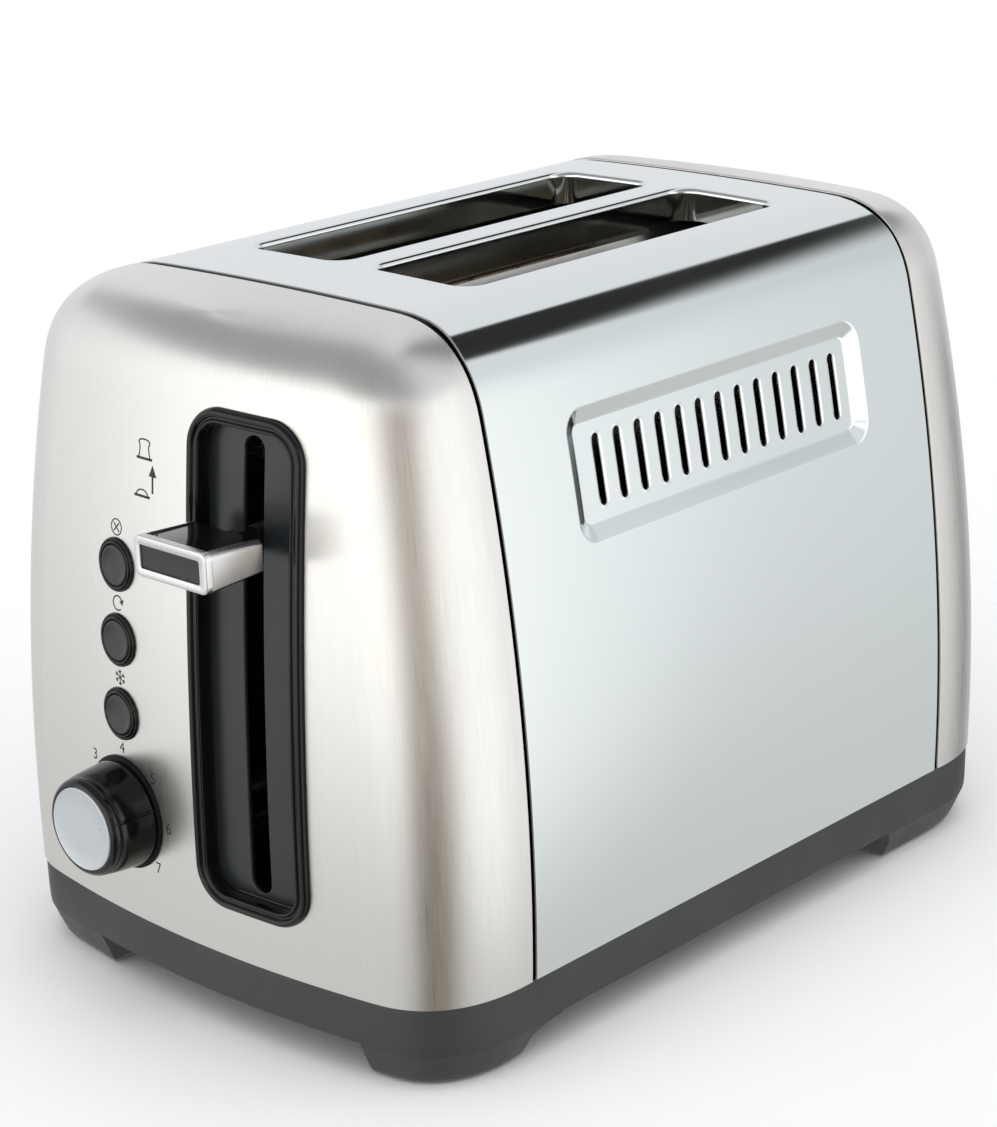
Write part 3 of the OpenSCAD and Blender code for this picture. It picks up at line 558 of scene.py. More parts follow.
# ---------------------------------------------------------------- wrap shell
class Section:
    """The shell's front-view section, unrolled: sigma runs along it from the top's middle, as x."""

    def __init__(self, inset):
        line, normals = section_line(inset)
        length = np.concatenate([[0], np.cumsum(np.linalg.norm(np.diff(line, axis=0), axis=1))])
        sigma = length[-1] / 2 - length
        order = np.argsort(sigma)
        self.sigma, self.line, self.normals = sigma[order], line[order], normals[order]

    def at(self, sigma):
        """Points and normals at sigma."""
        point, normal = [
            np.stack([np.interp(sigma, self.sigma, rows[:, k]) for k in range(3)], -1)
            for rows in (self.line, self.normals)
        ]
        return point, unit(normal)

    def at_z(self, z):
        """Sigma of a height on the right side."""
        side = (self.line[:, 0] > 0) & (self.line[:, 2] < CORNER_Z + 2)
        return np.interp(z, self.line[side, 2][::-1], self.sigma[side][::-1])

    def at_x(self, x):
        """Sigma of an x on the roof."""
        roof = self.line[:, 2] > STEEL_H - 12
        return np.interp(x, self.line[roof, 0], self.sigma[roof])


def louvre_box(k):
    y = LOUVRE_Y + (k - (LOUVRES - 1) / 2) * LOUVRE_PITCH
    return (y - LOUVRE_W / 2, LOUVRE_Z - LOUVRE_H / 2), (y + LOUVRE_W / 2, LOUVRE_Z + LOUVRE_H / 2)


SECTION = Section(SHELL_STEP - SHELL_JOG)
LOUVRE_BOXES = [louvre_box(k) for k in range(LOUVRES)]
BREAD_SLOTS = (((SLOT_IN, SLOT_Y0), (SLOT_OUT, SLOT_Y1)), ((-SLOT_OUT, SLOT_Y0), (-SLOT_IN, SLOT_Y1)))


def jog_line(z):
    """How far from the sheet's end its step up lies: the gap to the cap is wider on the roof."""
    return JOG_Y + ROOF_GAP * smooth(np.clip((z - CORNER_Z - 14) / 8, 0, 1))


def vent_depth(y, z):
    """Depth of the vent's dish, with a soft lip round each louvre that sinks at its ends."""
    yz = np.stack([y, z], -1)
    t = np.clip(-rect_distance(yz, VENT_LOW, VENT_HIGH, VENT_R) / VENT_RUN, 0, 1)
    depth = VENT_DEEP * eased(t, VENT_ROUND)
    ends = np.clip((np.abs(z - LOUVRE_Z) - LOUVRE_H / 2 + 2) / 2.5, 0, 1)
    for low, high in LOUVRE_BOXES:
        near = np.clip(np.maximum(rect_distance(yz, low, high, LOUVRE_R), 0) / LIP_RUN, 0, 1)
        depth = depth + (0.14 - 0.24 * ends) * (1 - near) ** 2
    return depth


def shell_depth(sigma, y):
    """How far the sheet lies below its section: stepped down at its ends, dished at the vents."""
    z = SECTION.at(sigma)[0][:, 2]
    end = np.minimum(y, SEAM - y)
    depth = SHELL_JOG * smooth(np.clip((jog_line(z) + JOG_RISE - end) / JOG_RISE, 0, 1))
    side = (z < CORNER_Z) & (end > JOG_Y + 1)
    depth[side] = vent_depth(y[side], z[side])
    return depth


def shell_at(sigma, y):
    """Points and normals of the sheet's outer skin."""
    point, normal = SECTION.at(sigma)
    step = 0.03
    across = (shell_depth(sigma + step, y) - shell_depth(sigma - step, y)) / (2 * step)
    along = (shell_depth(sigma, y + step) - shell_depth(sigma, y - step)) / (2 * step)
    tangent = np.stack([normal[:, 2], 0 * sigma, -normal[:, 0]], -1)
    point = point - normal * shell_depth(sigma, y)[:, None]
    point[:, 1] = y
    return point, unit(normal + tangent * across[:, None] + np.array([0, 1, 0]) * along[:, None])


def shell_grid():
    """Grid over the unrolled sheet, finer at the bends and at the steps near its ends."""
    bend_start = SECTION.at_x(SECTION.line[:, 0].max() - EDGE_R - 6)
    bend_end = SECTION.at_z(CORNER_Z)
    roof, bend = np.arange(0, bend_start, 5), np.linspace(bend_start, bend_end, 48)
    half = np.concatenate([roof, bend, np.linspace(bend_end, SECTION.sigma[-1], 34)[1:]])
    sigmas = np.concatenate([-half[:0:-1], half])
    first = np.concatenate([[0.8], np.arange(JOG_Y, JOG_Y + ROOF_GAP + JOG_RISE + 0.1, 0.12)])
    middle, last = np.linspace(4, SEAM - 4, 45), SEAM - first[::-1]
    ys = np.concatenate([[-SHELL_LAP, 0], first, middle, last, [SEAM, SEAM + SHELL_LAP]])
    return np.stack(np.meshgrid(sigmas, ys), -1).reshape(-1, 2)


def slot_outline(low, high, grow):
    """A bread slot's outline, with the same number of points at every grow."""
    return round_rect(low, high, SLOT_R, grow, 10, 24)


def side_loop(outline, side):
    """An outline in (y, z) on the right side, or mirrored for the left, on the unrolled sheet."""
    return np.stack([side * SECTION.at_z(outline[:, 1]), outline[:, 0]], -1)


def shell_lines():
    """Lines that the mesh follows round the dishes and louvres, and the holes in it."""
    loops, holes = [], []
    for low, high in BREAD_SLOTS:
        outline = slot_outline(low, high, SLOT_FILLET)
        holes.append(np.stack([SECTION.at_x(outline[:, 0]), outline[:, 1]], -1))
    for side in (1, -1):
        for grow in (0.1, -0.1, -0.35, -0.7, -1.1, -2.4, -3.7, -4.1, -4.5, -4.75, -5.0):
            loops.append(side_loop(round_rect(VENT_LOW, VENT_HIGH, VENT_R, grow, 8, 40), side))
        for low, high in LOUVRE_BOXES:
            for grow in (1.15, 0.85, 0.5, 0.2):
                loops.append(side_loop(round_rect(low, high, LOUVRE_R, grow, 5, 9), side))
            holes.append(side_loop(round_rect(low, high, LOUVRE_R, 0, 5, 9), side))
    return loops, holes


def slot_ring(low, high, turn, drop):
    """A ring of a bread slot's rolled edge: its points, their normals and its flat outline."""
    ring = slot_outline(low, high, SLOT_FILLET * (1 - math.sin(turn)))
    outward = slot_outline(low, high, 10) - slot_outline(low, high, 9)
    away = unit(np.concatenate([outward, np.zeros((len(ring), 1))], 1))
    place, up = SECTION.at(SECTION.at_x(ring[:, 0]))
    place[:, 1] = ring[:, 1]
    place = place - up * (SLOT_FILLET * (1 - math.cos(turn)) + drop)
    return place, unit(up * math.cos(turn) - away * math.sin(turn)), ring


def shell_shade(points, outer):
    """Painted shade: darkens the sheet's colour in its gaps to the caps, where shadow falls, and on the
    louvres' cut edges.
    """
    end = np.minimum(points[:, 1], SEAM - points[:, 1])
    painted_shade = 0.05 + 0.95 * np.clip((end - jog_line(points[:, 2]) - 0.5) / 0.25, 0, 1)
    # Flat painted shade on the cut walls and the inner skin below the roof
    painted_shade[outer:][points[outer:, 2] < STEEL_H - 20] = 0.40
    return painted_shade


def build_shell():
    loops, holes = shell_lines()
    flat, tris, rows = mesh_region(shell_grid(), loops, holes, 0.4)
    points, normals = shell_at(flat[:, 0], flat[:, 1])
    faces = [tuple(t) for t in tris]
    uv = flat.copy()
    quarter = math.pi / 2
    steps = [(quarter * k / 6, 0.0) for k in range(1, 7)] + [(quarter, 4.0), (quarter, 8.0)]
    for (low, high), near in zip(BREAD_SLOTS, rows[len(loops):]):
        for turn, drop in steps:
            place, turned, ring = slot_ring(low, high, turn, drop)
            far = range(len(points), len(points) + len(ring))
            points = np.concatenate([points, place])
            normals = np.concatenate([normals, turned])
            uv = np.concatenate([uv, ring])
            faces += bridge(near, far)
            near = far
    outer = len(points)
    faces = oriented(points, normals, faces)
    points, normals, faces, source = thicken(points, normals, faces, SHELL_WALL, 0.3)
    add_piece("shell", points, faces, "housing", polished, ["wrap_shell"],
              normals, uv[source], painted_shade=shell_shade(points, outer))


# ------------------------------------------------------------------ end caps
EDGE_SHARE = EDGE_R / HALF_BODY
BEND = EDGE_R * 1.25


def cap_columns(u):
    """Share of the half width at a sheet distance u from the middle."""
    flat = HALF_BODY - EDGE_R
    turn = np.clip((np.abs(u) - flat) / BEND, 0, 1) * math.pi / 2
    bend = 1 - EDGE_SHARE + EDGE_SHARE * np.sin(turn) ** (2 / POWER)
    return np.sign(u) * np.where(np.abs(u) <= flat, np.abs(u) / HALF_BODY, bend)


def cap_rows(v):
    """Height at a sheet distance v up from the lower edge."""
    turn = np.clip((v - CORNER_Z) / BEND, 0, 1) * math.pi / 2
    return np.where(v <= CORNER_Z, v, CORNER_Z + EDGE_R * np.sin(turn) ** (2 / POWER))


def cap_outline(outline):
    """A hole's outline in the front view, in the cap sheet's own distances."""
    return np.stack([outline[:, 0] * HALF_BODY / half_at(outline[:, 1]), outline[:, 1]], -1)


def bezel_outline(grow, per_corner=12, along=14):
    low = (BEZEL_X - BEZEL_W / 2, BEZEL_Z - BEZEL_H / 2)
    high = (BEZEL_X + BEZEL_W / 2, BEZEL_Z + BEZEL_H / 2)
    return round_rect(low, high, BEZEL_R, grow, per_corner, along)


def build_cap(name, node, holes, rear):
    flat = HALF_BODY - EDGE_R
    us = np.concatenate([np.linspace(0, flat, 22), flat + BEND * np.linspace(0, 1, 25)[1:]])
    us = np.concatenate([-us[:0:-1], us])
    vs = np.concatenate([np.linspace(0, CORNER_Z, 48), CORNER_Z + BEND * np.linspace(0, 1, 25)[1:]])
    grid = np.stack(np.meshgrid(us, vs), -1).reshape(-1, 2)
    sheet, tris, _ = mesh_region(grid, [], [cap_outline(h) for h in holes], 0.6)
    z = cap_rows(sheet[:, 1])
    x = half_at(z) * cap_columns(sheet[:, 0])
    points, normals = form_point(x, z)
    if rear:
        points = points * [1, -1, 1] + [0, SEAM, 0]
        normals = normals * [1, -1, 1]
    faces = oriented(points, normals, [tuple(t) for t in tris])
    points, normals, faces, source = thicken(points, normals, faces, CAP_WALL, 0.35)
    add_piece(name, points, faces, "housing", brushed, [node], normals, sheet[source])


def build_caps():
    holes = [bezel_outline(-2.5)]
    for k in range(3):
        holes.append(circle(BUTTON_X, BUTTON_Z + k * BUTTON_PITCH, RING_R - 1.2))
    holes.append(circle(KNOB_X, KNOB_Z, 5))
    build_cap("cap_front", "front_cap", holes, False)
    build_cap("cap_rear", "rear_cap", [], True)


# ---------------------------------------------------------------------- base
def front_edge(x, inset):
    """Plan points of the front cap's lower edge at each x."""
    edge = EDGE_R - inset
    a = np.clip((x - (half_w(0.0, inset) - edge)) / edge, 0, 1)
    y = -face_depth(x, np.zeros_like(x), inset) * np.clip(1 - a**POWER, 0, 1) ** (1 / POWER)
    return np.stack([x, y], -1)


def corner_x(inset, turn):
    """The x of points round the front right corner; turn goes from 0 to a right angle."""
    edge = EDGE_R - inset
    return half_w(0.0, inset) - edge + edge * np.sin(turn) ** (2 / POWER)


def plan_line(inset):
    """Plan outline of the body at the steel's lower edge, counterclockwise from the front's middle."""
    bend = corner_x(inset, np.linspace(0, math.pi / 2, 26))
    front = front_edge(np.concatenate([np.linspace(0, bend[0], 16)[:-1], bend]), inset)
    straight = np.stack([np.full(11, bend[-1]), np.linspace(0, SEAM, 13)[1:-1]], -1)
    back = front[::-1] * [1, -1] + [0, SEAM]
    right = np.concatenate([front, straight, back])
    left = right[-2:0:-1] * [-1, 1]
    return np.concatenate([right, left])


def lifted(outline, z):
    return np.concatenate([outline, np.full((len(outline), 1), float(z))], 1)


# Each ring of a foot: inset from the body, height, share of the corner's turn left out,
# and share of the way from the sole's end to the end of the hollow curve under the band
FOOT_STAGES = (
    (0.9, -11.5, 0.0, 1.0), (0.9, -13.9, 0.0, 0.98), (1.0, -14.3, 0.03, 0.82), (1.25, -14.8, 0.08, 0.62),
    (1.6, -15.6, 0.14, 0.42), (2.1, -16.8, 0.24, 0.24), (2.8, -18.5, 0.42, 0.15), (3.9, -21.0, 0.7, 0.12),
    (4.6, -22.4, 0.9, 0.09), (5.2, -23.2, 0.97, 0.02), (6.3, -23.7, 1.0, -0.1),
)
# Each foot: its inner side's x, its left or right side, and whether it is at the rear
FEET = ((58.5, 1, False), (43.0, -1, False), (58.5, 1, True), (58.5, -1, True))


def build_foot(x_in, side, rear):
    """One corner foot from its sole to its top inside the band."""
    y_top, y_low, last = (25, 21, 90) if rear else (13, -1, 78)
    rings = []
    for inset, z, share, sweep in FOOT_STAGES:
        x = corner_x(inset, np.radians(np.linspace(0, 90 + (last - 90) * share, 22)))
        end = y_low + (y_top - y_low) * sweep
        xi = x_in + max(0.0, inset - 4.6)
        front = -float(face_depth(np.array(xi), np.array(0.0), inset))
        line = np.concatenate([[(xi, front)], front_edge(x, inset), [(x[-1], end), (xi, end)]])
        if rear:
            line = line * [1, -1] + [0, SEAM]
        line = line * [side, 1]
        if (side < 0) != rear:
            line = line[::-1]
        rings.append(lifted(line, z))
    return loft(rings[::-1], True)


# Opening for the crumb tray at the back: half width and its two heights
MOUTH_HALF, MOUTH_LOW, MOUTH_HIGH = 53.0, -9.4, -2.4


def mouth_line(inset, ends):
    """Plan outline with one point set on each end of the tray's opening."""
    line = plan_line(inset)
    for k, x in zip(ends, (MOUTH_HALF, -MOUTH_HALF)):
        near = line[k - 1:k + 2]
        near = near[np.argsort(near[:, 0])]
        line[k] = x, np.interp(x, near[:, 0], near[:, 1])
    return line


def without_mouth(points, faces):
    """The same mesh without the faces that cover the tray's opening."""
    low, high = MOUTH_LOW - 0.01, MOUTH_HIGH + 0.01
    x, y, z = points.T
    gone = (y > SEAM) & (np.abs(x) < MOUTH_HALF + 0.01) & (z > low) & (z < high)
    return points, [f for f in faces if not all(gone[i] for i in f)]


def mouth_lining(outer_high, inner_high, inner_low, outer_low):
    """Roof, floor and two ends between the band's outer and inner face."""
    count = len(outer_high)
    faces = []
    for i in range(count - 1):
        faces.append((count + i, count + i + 1, i + 1, i))
        faces.append((3 * count + i, 3 * count + i + 1, 2 * count + i + 1, 2 * count + i))
    faces.append((3 * count, 2 * count, count, 0))
    faces.append((count - 1, 2 * count - 1, 3 * count - 1, 4 * count - 1))
    return np.concatenate([outer_high, inner_high, inner_low, outer_low]), faces


# The band's section, as (inset, height) from its inner wall round its outside to the floor's
# edge; the tray's opening cuts it between two of its points
HIGH_INSET, LOW_INSET, WALL_INSET, FLOOR_INSET = 0.52, 0.63, 4.0, 8.0
BAND_SECTION = (
    (WALL_INSET, -1.0), (WALL_INSET, 0.0), (1.0, 0.0), (0.65, -0.12), (0.5, -0.5),
    (HIGH_INSET, MOUTH_HIGH), (LOW_INSET, MOUTH_LOW), (0.75, -12.6), (0.95, -13.5),
    (1.5, -14.0), (3.0, -14.0), (3.0, -12.0), (FLOOR_INSET, -12.0),
)
MOUTH_CORNERS = (
    (HIGH_INSET, MOUTH_HIGH), (WALL_INSET, MOUTH_HIGH), (WALL_INSET, MOUTH_LOW), (LOW_INSET, MOUTH_LOW),
)


def build_base():
    line = plan_line(HIGH_INSET)
    rear = line[:, 1] > SEAM
    ends = [int(np.argmin(np.abs(line[:, 0] - x) + 1e3 * ~rear)) for x in (MOUTH_HALF, -MOUTH_HALF)]
    span = slice(ends[0], ends[1] + 1)
    band = loft([lifted(mouth_line(inset, ends), z) for inset, z in BAND_SECTION[::-1]])
    lining = mouth_lining(*[lifted(mouth_line(inset, ends)[span], z) for inset, z in MOUTH_CORNERS])
    under = lifted(plan_line(FLOOR_INSET), -12.0)
    floor = (under, [tuple(range(len(under)))[::-1]])
    inner = [lifted(mouth_line(WALL_INSET, ends), z) for z in (-1.0, MOUTH_HIGH, MOUTH_LOW, -10.0)]
    deck = (inner[-1], [tuple(range(len(inner[-1])))])
    parts = [without_mouth(*band), floor, without_mouth(*loft(inner)), deck, lining]
    parts += [build_foot(*foot) for foot in FEET]
    points, faces = join(parts)
    add_piece("base_moulding", points, faces, "housing", charcoal, ["base"], sharp=32)


# --------------------------------------------------------------------- bezel
def on_face(outline, height):
    """An outline laid over the front cap's face; height is how far it stands in front."""
    x, z = outline[:, 0], outline[:, 1]
    drop = x * x / (2 * CROWN_R) * z / STEEL_H
    return np.stack([x, face_y(x, z) - height, z - drop], -1)


# The rim's section, as (inset from its outline, height over the cap)
RIM_SECTION = (
    (0.0, -0.9), (0.0, 0.5), (0.12, 1.1), (0.4, 1.6), (0.85, 1.95), (1.4, 2.0), (1.95, 1.75), (2.25, 1.3),
    (2.4, 1.02), (2.7, 0.95), (2.95, 1.1), (3.1, 1.4), (3.4, 1.58), (3.75, 1.5), (4.0, 1.2), (4.1, 0.8),
    (4.12, -2.2), (3.9, -2.6), (4.0, -2.9), (4.3, -3.0), (4.3, -4.6), (2.7, -4.6), (2.7, -1.0),
)


def build_bezel():
    rings = [on_face(bezel_outline(-inset, 14, 30), height) for inset, height in RIM_SECTION]
    points, faces = loft(rings + rings[:1])
    add_piece("bezel", points, faces, "housing", gloss_black, ["lever_bezel"], sharp=50)


def build_panel():
    border = bezel_outline(-RIM_W - 0.02, 12, 40)
    slot_low = (BEZEL_X - LEVER_SLOT_W / 2 - 0.3, LEVER_SLOT_LOW - 0.3)
    slot_high = (BEZEL_X + LEVER_SLOT_W / 2 + 0.3, LEVER_SLOT_HIGH + 0.3)
    slot = round_rect(slot_low, slot_high, LEVER_SLOT_W / 2 + 0.29, 0, 12, 60)
    low, high = border.min(0), border.max(0)
    xs, zs = np.linspace(low[0], high[0], 14), np.linspace(low[1], high[1], 54)
    grid = np.stack(np.meshgrid(xs, zs), -1).reshape(-1, 2)
    grid = grid[inside(grid, border)]
    flat, tris, _ = mesh_region(grid, [border], [slot], 0.6)
    centres = flat[tris].mean(1)
    tris = tris[inside(centres, border)]
    points = on_face(flat, -BEZEL_DEEP)
    x, z = flat[:, 0], flat[:, 1]
    normals = unit(np.stack([x / FACE_BOW, -np.ones_like(x), (z - BELLY_Z) / FACE_LEAN], -1))
    faces = oriented(points, normals, [tuple(t) for t in tris])
    points, normals, faces, _ = thicken(points, normals, faces, 1.6, 0.3)
    add_piece("bezel_panel", points, faces, "housing", slate, ["lever_panel"], normals)


# ------------------------------------------------------------------- buttons
ROUND = np.linspace(0, 2 * math.pi, 96, endpoint=False)
# Turned sections, as (radius, height over the cap)
BUTTON_RING = (
    (5.75, -5), (5.75, 0.7), (5.85, 1.05), (6.05, 1.22), (6.3, 1.22), (6.5, 1.05), (6.6, 0.8), (6.75, 0.66),
    (6.9, 0.78), (7.1, 0.86), (7.3, 0.74), (7.45, 0.4), (7.5, -0.1), (7.5, -0.6), (6.2, -0.6), (6.2, -5),
)
BUTTON_TOP = (
    (0.05, 0.62), (1.5, 0.64), (3.0, 0.76), (4.0, 0.95), (4.5, 1.15), (4.8, 1.3), (5.1, 1.36),
    (5.4, 1.26), (5.58, 1.0), (5.6, 0.6), (5.6, -4), (2.2, -4), (2.2, -14),
)
COLLAR = ((10.0, -0.4), (10.0, 0.9), (15.6, 0.95), (15.95, 0.8), (16.1, 0.5), (16.1, -0.4))


def tilted_round(section, cx, cz):
    """Rings of a turned piece, each following the cap face's slope."""
    rings = []
    for r, height in section:
        outline = np.stack([cx + r * np.cos(ROUND), cz + r * np.sin(ROUND)], -1)
        rings.append(on_face(outline, height))
    return rings


def build_buttons():
    heights = [BUTTON_Z + k * BUTTON_PITCH for k in range(3)]
    sets = [tilted_round(BUTTON_RING, BUTTON_X, z) for z in heights]
    points, faces = join([loft(rings + rings[:1]) for rings in sets])
    add_piece("button_bezels", points, faces, "housing", gloss_black,
              ["button_rings"], sharp=60)
    for name, z in zip(("defrost", "reheat", "cancel"), heights):
        points, faces = loft(tilted_round(BUTTON_TOP, BUTTON_X, z), True)
        add_piece(f"button_{name}", points, faces, f"{name}_key", satin_black,
                  [f"{name}_button"], sharp=50)


# ---------------------------------------------------------------------- knob
KNOB_FACE = float(face_y(KNOB_X, KNOB_Z))
KNOB_FRONT, KNOB_BACK = KNOB_FACE - KNOB_REACH, KNOB_FACE - 1.9
KNOB_DEPTH = KNOB_BACK - KNOB_FRONT
# Turned sections, as (radius, distance behind the knob's front)
KNOB_SECTION = (
    (11.86, 1.3), (11.88, 0.5), (11.95, 0.22), (12.1, 0.1), (12.35, 0.14), (12.75, 0.34), (13.2, 0.72),
    (13.55, 1.25), (13.78, 1.8), (13.9, 2.4), (13.95, 2.9), (13.86, 3.15), (13.98, 3.38), (14.1, 3.7),
    (14.5, 6.5), (14.8, 9.5), (15.02, KNOB_DEPTH - 1.4), (15.12, KNOB_DEPTH - 0.6),
    (15.05, KNOB_DEPTH - 0.2), (14.8, KNOB_DEPTH), (12.4, KNOB_DEPTH), (12.0, 5), (12.0, 1.3),
)
DISC_SECTION = (
    (0.05, -0.02), (6, -0.02), (11.05, 0.0), (11.2, -0.04), (11.38, -0.12), (11.58, -0.06), (11.74, 0.12),
    (11.8, 0.4), (11.8, 1.2),
)
DOT_SECTION = ((0.02, -0.22), (0.25, -0.2), (0.42, -0.12), (0.5, 0.02), (0.5, 0.2))
DOT_RADIUS = 8.2
# The pointer's groove: half the turn with close points round it, its width, and its depth at
# each ring of the knob's section from GROOVE_START on
GROOVE_HALF, GROOVE_WIDTH, GROOVE_START = 0.12, 0.026, 10
GROOVE_DEPTHS = (0.3, 0.5, 0.5, 0.5, 0.5, 0.5, 0.5, 0.5)


def revolve(section, cx, cz):
    """Solid turned about a line along y behind the knob's front."""
    return loft([turned_ring(cx, cz, r, KNOB_FRONT + y, ROUND) for r, y in section], True)


def knob_rings(groove):
    """Rings of the knob's body, sunk along the pointer's groove."""
    close = np.linspace(-GROOVE_HALF, GROOVE_HALF, 41)
    near = np.concatenate([close, np.linspace(GROOVE_HALF, 2 * math.pi - GROOVE_HALF, 150)[1:-1]])
    cut = np.exp(-((np.angle(np.exp(1j * near)) / GROOVE_WIDTH) ** 4))
    sinks = [0.0] * GROOVE_START + list(GROOVE_DEPTHS)
    sinks += [0.0] * (len(KNOB_SECTION) - len(sinks))
    rings = []
    for (r, y), sink in zip(KNOB_SECTION, sinks):
        rings.append(turned_ring(KNOB_X, KNOB_Z, r - sink * cut, KNOB_FRONT + y, groove + near))
    return rings


def build_knob():
    groove = math.radians(KNOB_REST)
    rings = knob_rings(groove)
    points, faces = loft(rings + rings[:1])
    add_piece("knob_body", points, faces, "browning_knob", knob_black, ["knob"], sharp=60)
    dot_x, dot_z = KNOB_X + DOT_RADIUS * math.cos(groove), KNOB_Z + DOT_RADIUS * math.sin(groove)
    points, faces = join([revolve(DISC_SECTION, KNOB_X, KNOB_Z), revolve(DOT_SECTION, dot_x, dot_z)])
    add_piece("knob_face", points, faces, "browning_knob", knob_silver,
              ["knob_disc"], sharp=50)
    rings = tilted_round(COLLAR, KNOB_X, KNOB_Z)
    points, faces = loft(rings + rings[:1])
    add_piece("knob_collar", points, faces, "housing", deep_black,
              ["knob_flange"], sharp=50)


# --------------------------------------------------------------------- lever
ARM_Z, LEVER_X, LEVER_Z, LEVER_W, LEVER_H = 118.2, 24.3, 117.8, 27.2, 11.0
LEVER_FRONT, LEVER_BACK, LEVER_TAPER, LEVER_R = -60.2, -41.4, 1.1, 2.2
LEVER_X0, LEVER_X1 = LEVER_X - LEVER_W / 2, LEVER_X + LEVER_W / 2


LEVER_HALF = LEVER_H / 2
# Black inset in the lever's front: corners in (x, z) and corner radius
WINDOW_LOW, WINDOW_HIGH = (LEVER_X0 + 2.2, LEVER_Z - 3.15), (LEVER_X1 - 2.7, LEVER_Z + 3.15)
WINDOW_R = 0.7
# Rings of the chrome front, as (grow, distance behind the front): its window, then its outside
WINDOW_STAGES = ((0, 1.6), (0, 0.2), (0.06, 0.06), (0.18, 0.0))
FRONT_STAGES = (
    (-0.55, 0.0), (-0.3, 0.04), (-0.12, 0.14), (-0.02, 0.32), (0, 0.55), (0, 2.1), (-1.2, 2.1), (-1.2, 1.6),
)
INSET_STAGES = ((-0.02, 1.55), (-0.02, 0.75), (-0.14, 0.6), (-0.42, 0.56), (-0.72, 0.6))
# Right half of the black core's section, from the chrome's outer face and the lever's middle
CORE_HALF = (
    (-2.3, LEVER_HALF - 0.3), (-1.6, LEVER_HALF - 0.5), (-1.15, LEVER_HALF - 0.9),
    (-1.15, -LEVER_HALF + 0.85), (-0.35, -LEVER_HALF + 0.75), (-0.35, -LEVER_HALF + 0.5),
    (-0.75, -LEVER_HALF + 0.15), (-1.2, -LEVER_HALF + 0.1),
)


def lever_loft(section, start, end):
    """Section (x, z from the lever's middle) swept back along y, getting lower on the way."""
    rings = []
    for y in np.linspace(start, end, 6):
        share = (y - LEVER_FRONT) / (LEVER_BACK - LEVER_FRONT)
        low = 1 - share * LEVER_TAPER / LEVER_HALF
        rings.append(upright(section * [1, low] + [0, LEVER_Z], y))
    return loft(rings, True)


def both_sides(right):
    """A section's right half, and its mirror image in reverse order."""
    return right + (LEVER_X1, 0), (right * (-1, 1))[::-1] + (LEVER_X0, 0)


def lever_cheeks():
    """Sections of the chrome's two sides: upright walls whose tops curl inwards."""
    turn = np.radians(np.linspace(0, 90, 9))
    middle_x, middle_z = -LEVER_R, LEVER_HALF - LEVER_R
    outer, inner = [
        [(middle_x + r * math.cos(t), middle_z + r * math.sin(t)) for t in turn]
        for r in (LEVER_R, LEVER_R - 1.1)
    ]
    foot = [(-0.3, -LEVER_HALF + 0.8), (-0.06, -LEVER_HALF + 0.95), (0, -LEVER_HALF + 1.2)]
    return both_sides(np.array(foot + outer + inner[::-1] + [(-1.1, -LEVER_HALF + 0.8)]))


def window_rings(stages):
    return [
        upright(round_rect(WINDOW_LOW, WINDOW_HIGH, WINDOW_R, grow, 8), LEVER_FRONT + y)
        for grow, y in stages
    ]


def build_lever():
    low, high = (LEVER_X0, LEVER_Z - LEVER_HALF), (LEVER_X1, LEVER_Z + LEVER_HALF)
    rings = window_rings(WINDOW_STAGES)
    for grow, y in FRONT_STAGES:
        rings.append(upright(round_rect(low, high, LEVER_R, grow, 8), LEVER_FRONT + y))
    right, left = lever_cheeks()
    cheeks = [lever_loft(section, LEVER_FRONT + 2.0, LEVER_BACK) for section in (left, right)]
    points, faces = join([loft(rings + rings[:1])] + cheeks)
    add_piece("lever_band", points, faces, "carriage", lever_chrome,
              ["lever_frame"], sharp=40)
    points, faces = loft(window_rings(INSET_STAGES), True)
    add_piece("lever_window", points, faces, "carriage", inset_black,
              ["lever_inset"], sharp=40)
    neck = round_rect((BEZEL_X - 2.6, ARM_Z - 3.2), (BEZEL_X + 2.6, ARM_Z + 3.2), 0.8, 0, 5)
    neck_rings = [upright(neck, y) for y in (LEVER_BACK - 1, -34.0)]
    core = np.concatenate(both_sides(np.array(CORE_HALF)))
    body = lever_loft(core, LEVER_FRONT + 1.8, LEVER_BACK + 0.02)
    points, faces = join([body, loft(neck_rings, True)])
    add_piece("lever_core", points, faces, "carriage", gloss_black,
              ["lever_grip"], sharp=40)


# --------------------------------------------------------------------- marks
def stroke(path, width, closed=False):
    """A flat line along a path in the front view."""
    path = np.array(path, float)
    ahead = np.roll(path, -1, 0) - path
    if not closed:
        ahead[-1] = ahead[-2]
    ahead = unit(ahead)
    behind = np.roll(ahead, 1, 0)
    if not closed:
        behind[0] = ahead[0]
    middle = unit(ahead + behind)
    across = np.stack([-middle[:, 1], middle[:, 0]], -1)
    stretch = 1 / np.maximum(np.abs((middle * ahead).sum(1, keepdims=True)), 0.5)
    side = across * stretch * width / 2
    count = len(path)
    faces = []
    for k in range(count if closed else count - 1):
        j = (k + 1) % count
        faces.append((k, j, count + j, count + k))
    return np.concatenate([path - side, path + side]), faces


def arc(cx, cz, r, start, end, count=24):
    t = np.radians(np.linspace(start, end, count))
    return np.stack([cx + r * np.cos(t), cz + r * np.sin(t)], -1)


def filled(outline):
    return np.array(outline, float), [tuple(range(len(outline)))]


def ground_mark(x, z):
    """The line under a slice of bread."""
    return stroke([(x - 3.2, z), (x + 3.2, z)], 0.72)


def slice_mark(x, z):
    """A standing slice of bread on a line."""
    half = [(2.3, 0.1), (1.95, 1.5), (1.75, 3.0), (1.85, 3.5), (2.2, 3.95), (2.2, 4.4), (1.7, 4.85)]
    half += [(0.9, 5.05), (0.0, 5.1)]
    body = np.array(half + [(-a, b) for a, b in half[-2::-1]]) + (x, z)
    return [stroke(body, 0.42), ground_mark(x, z)]


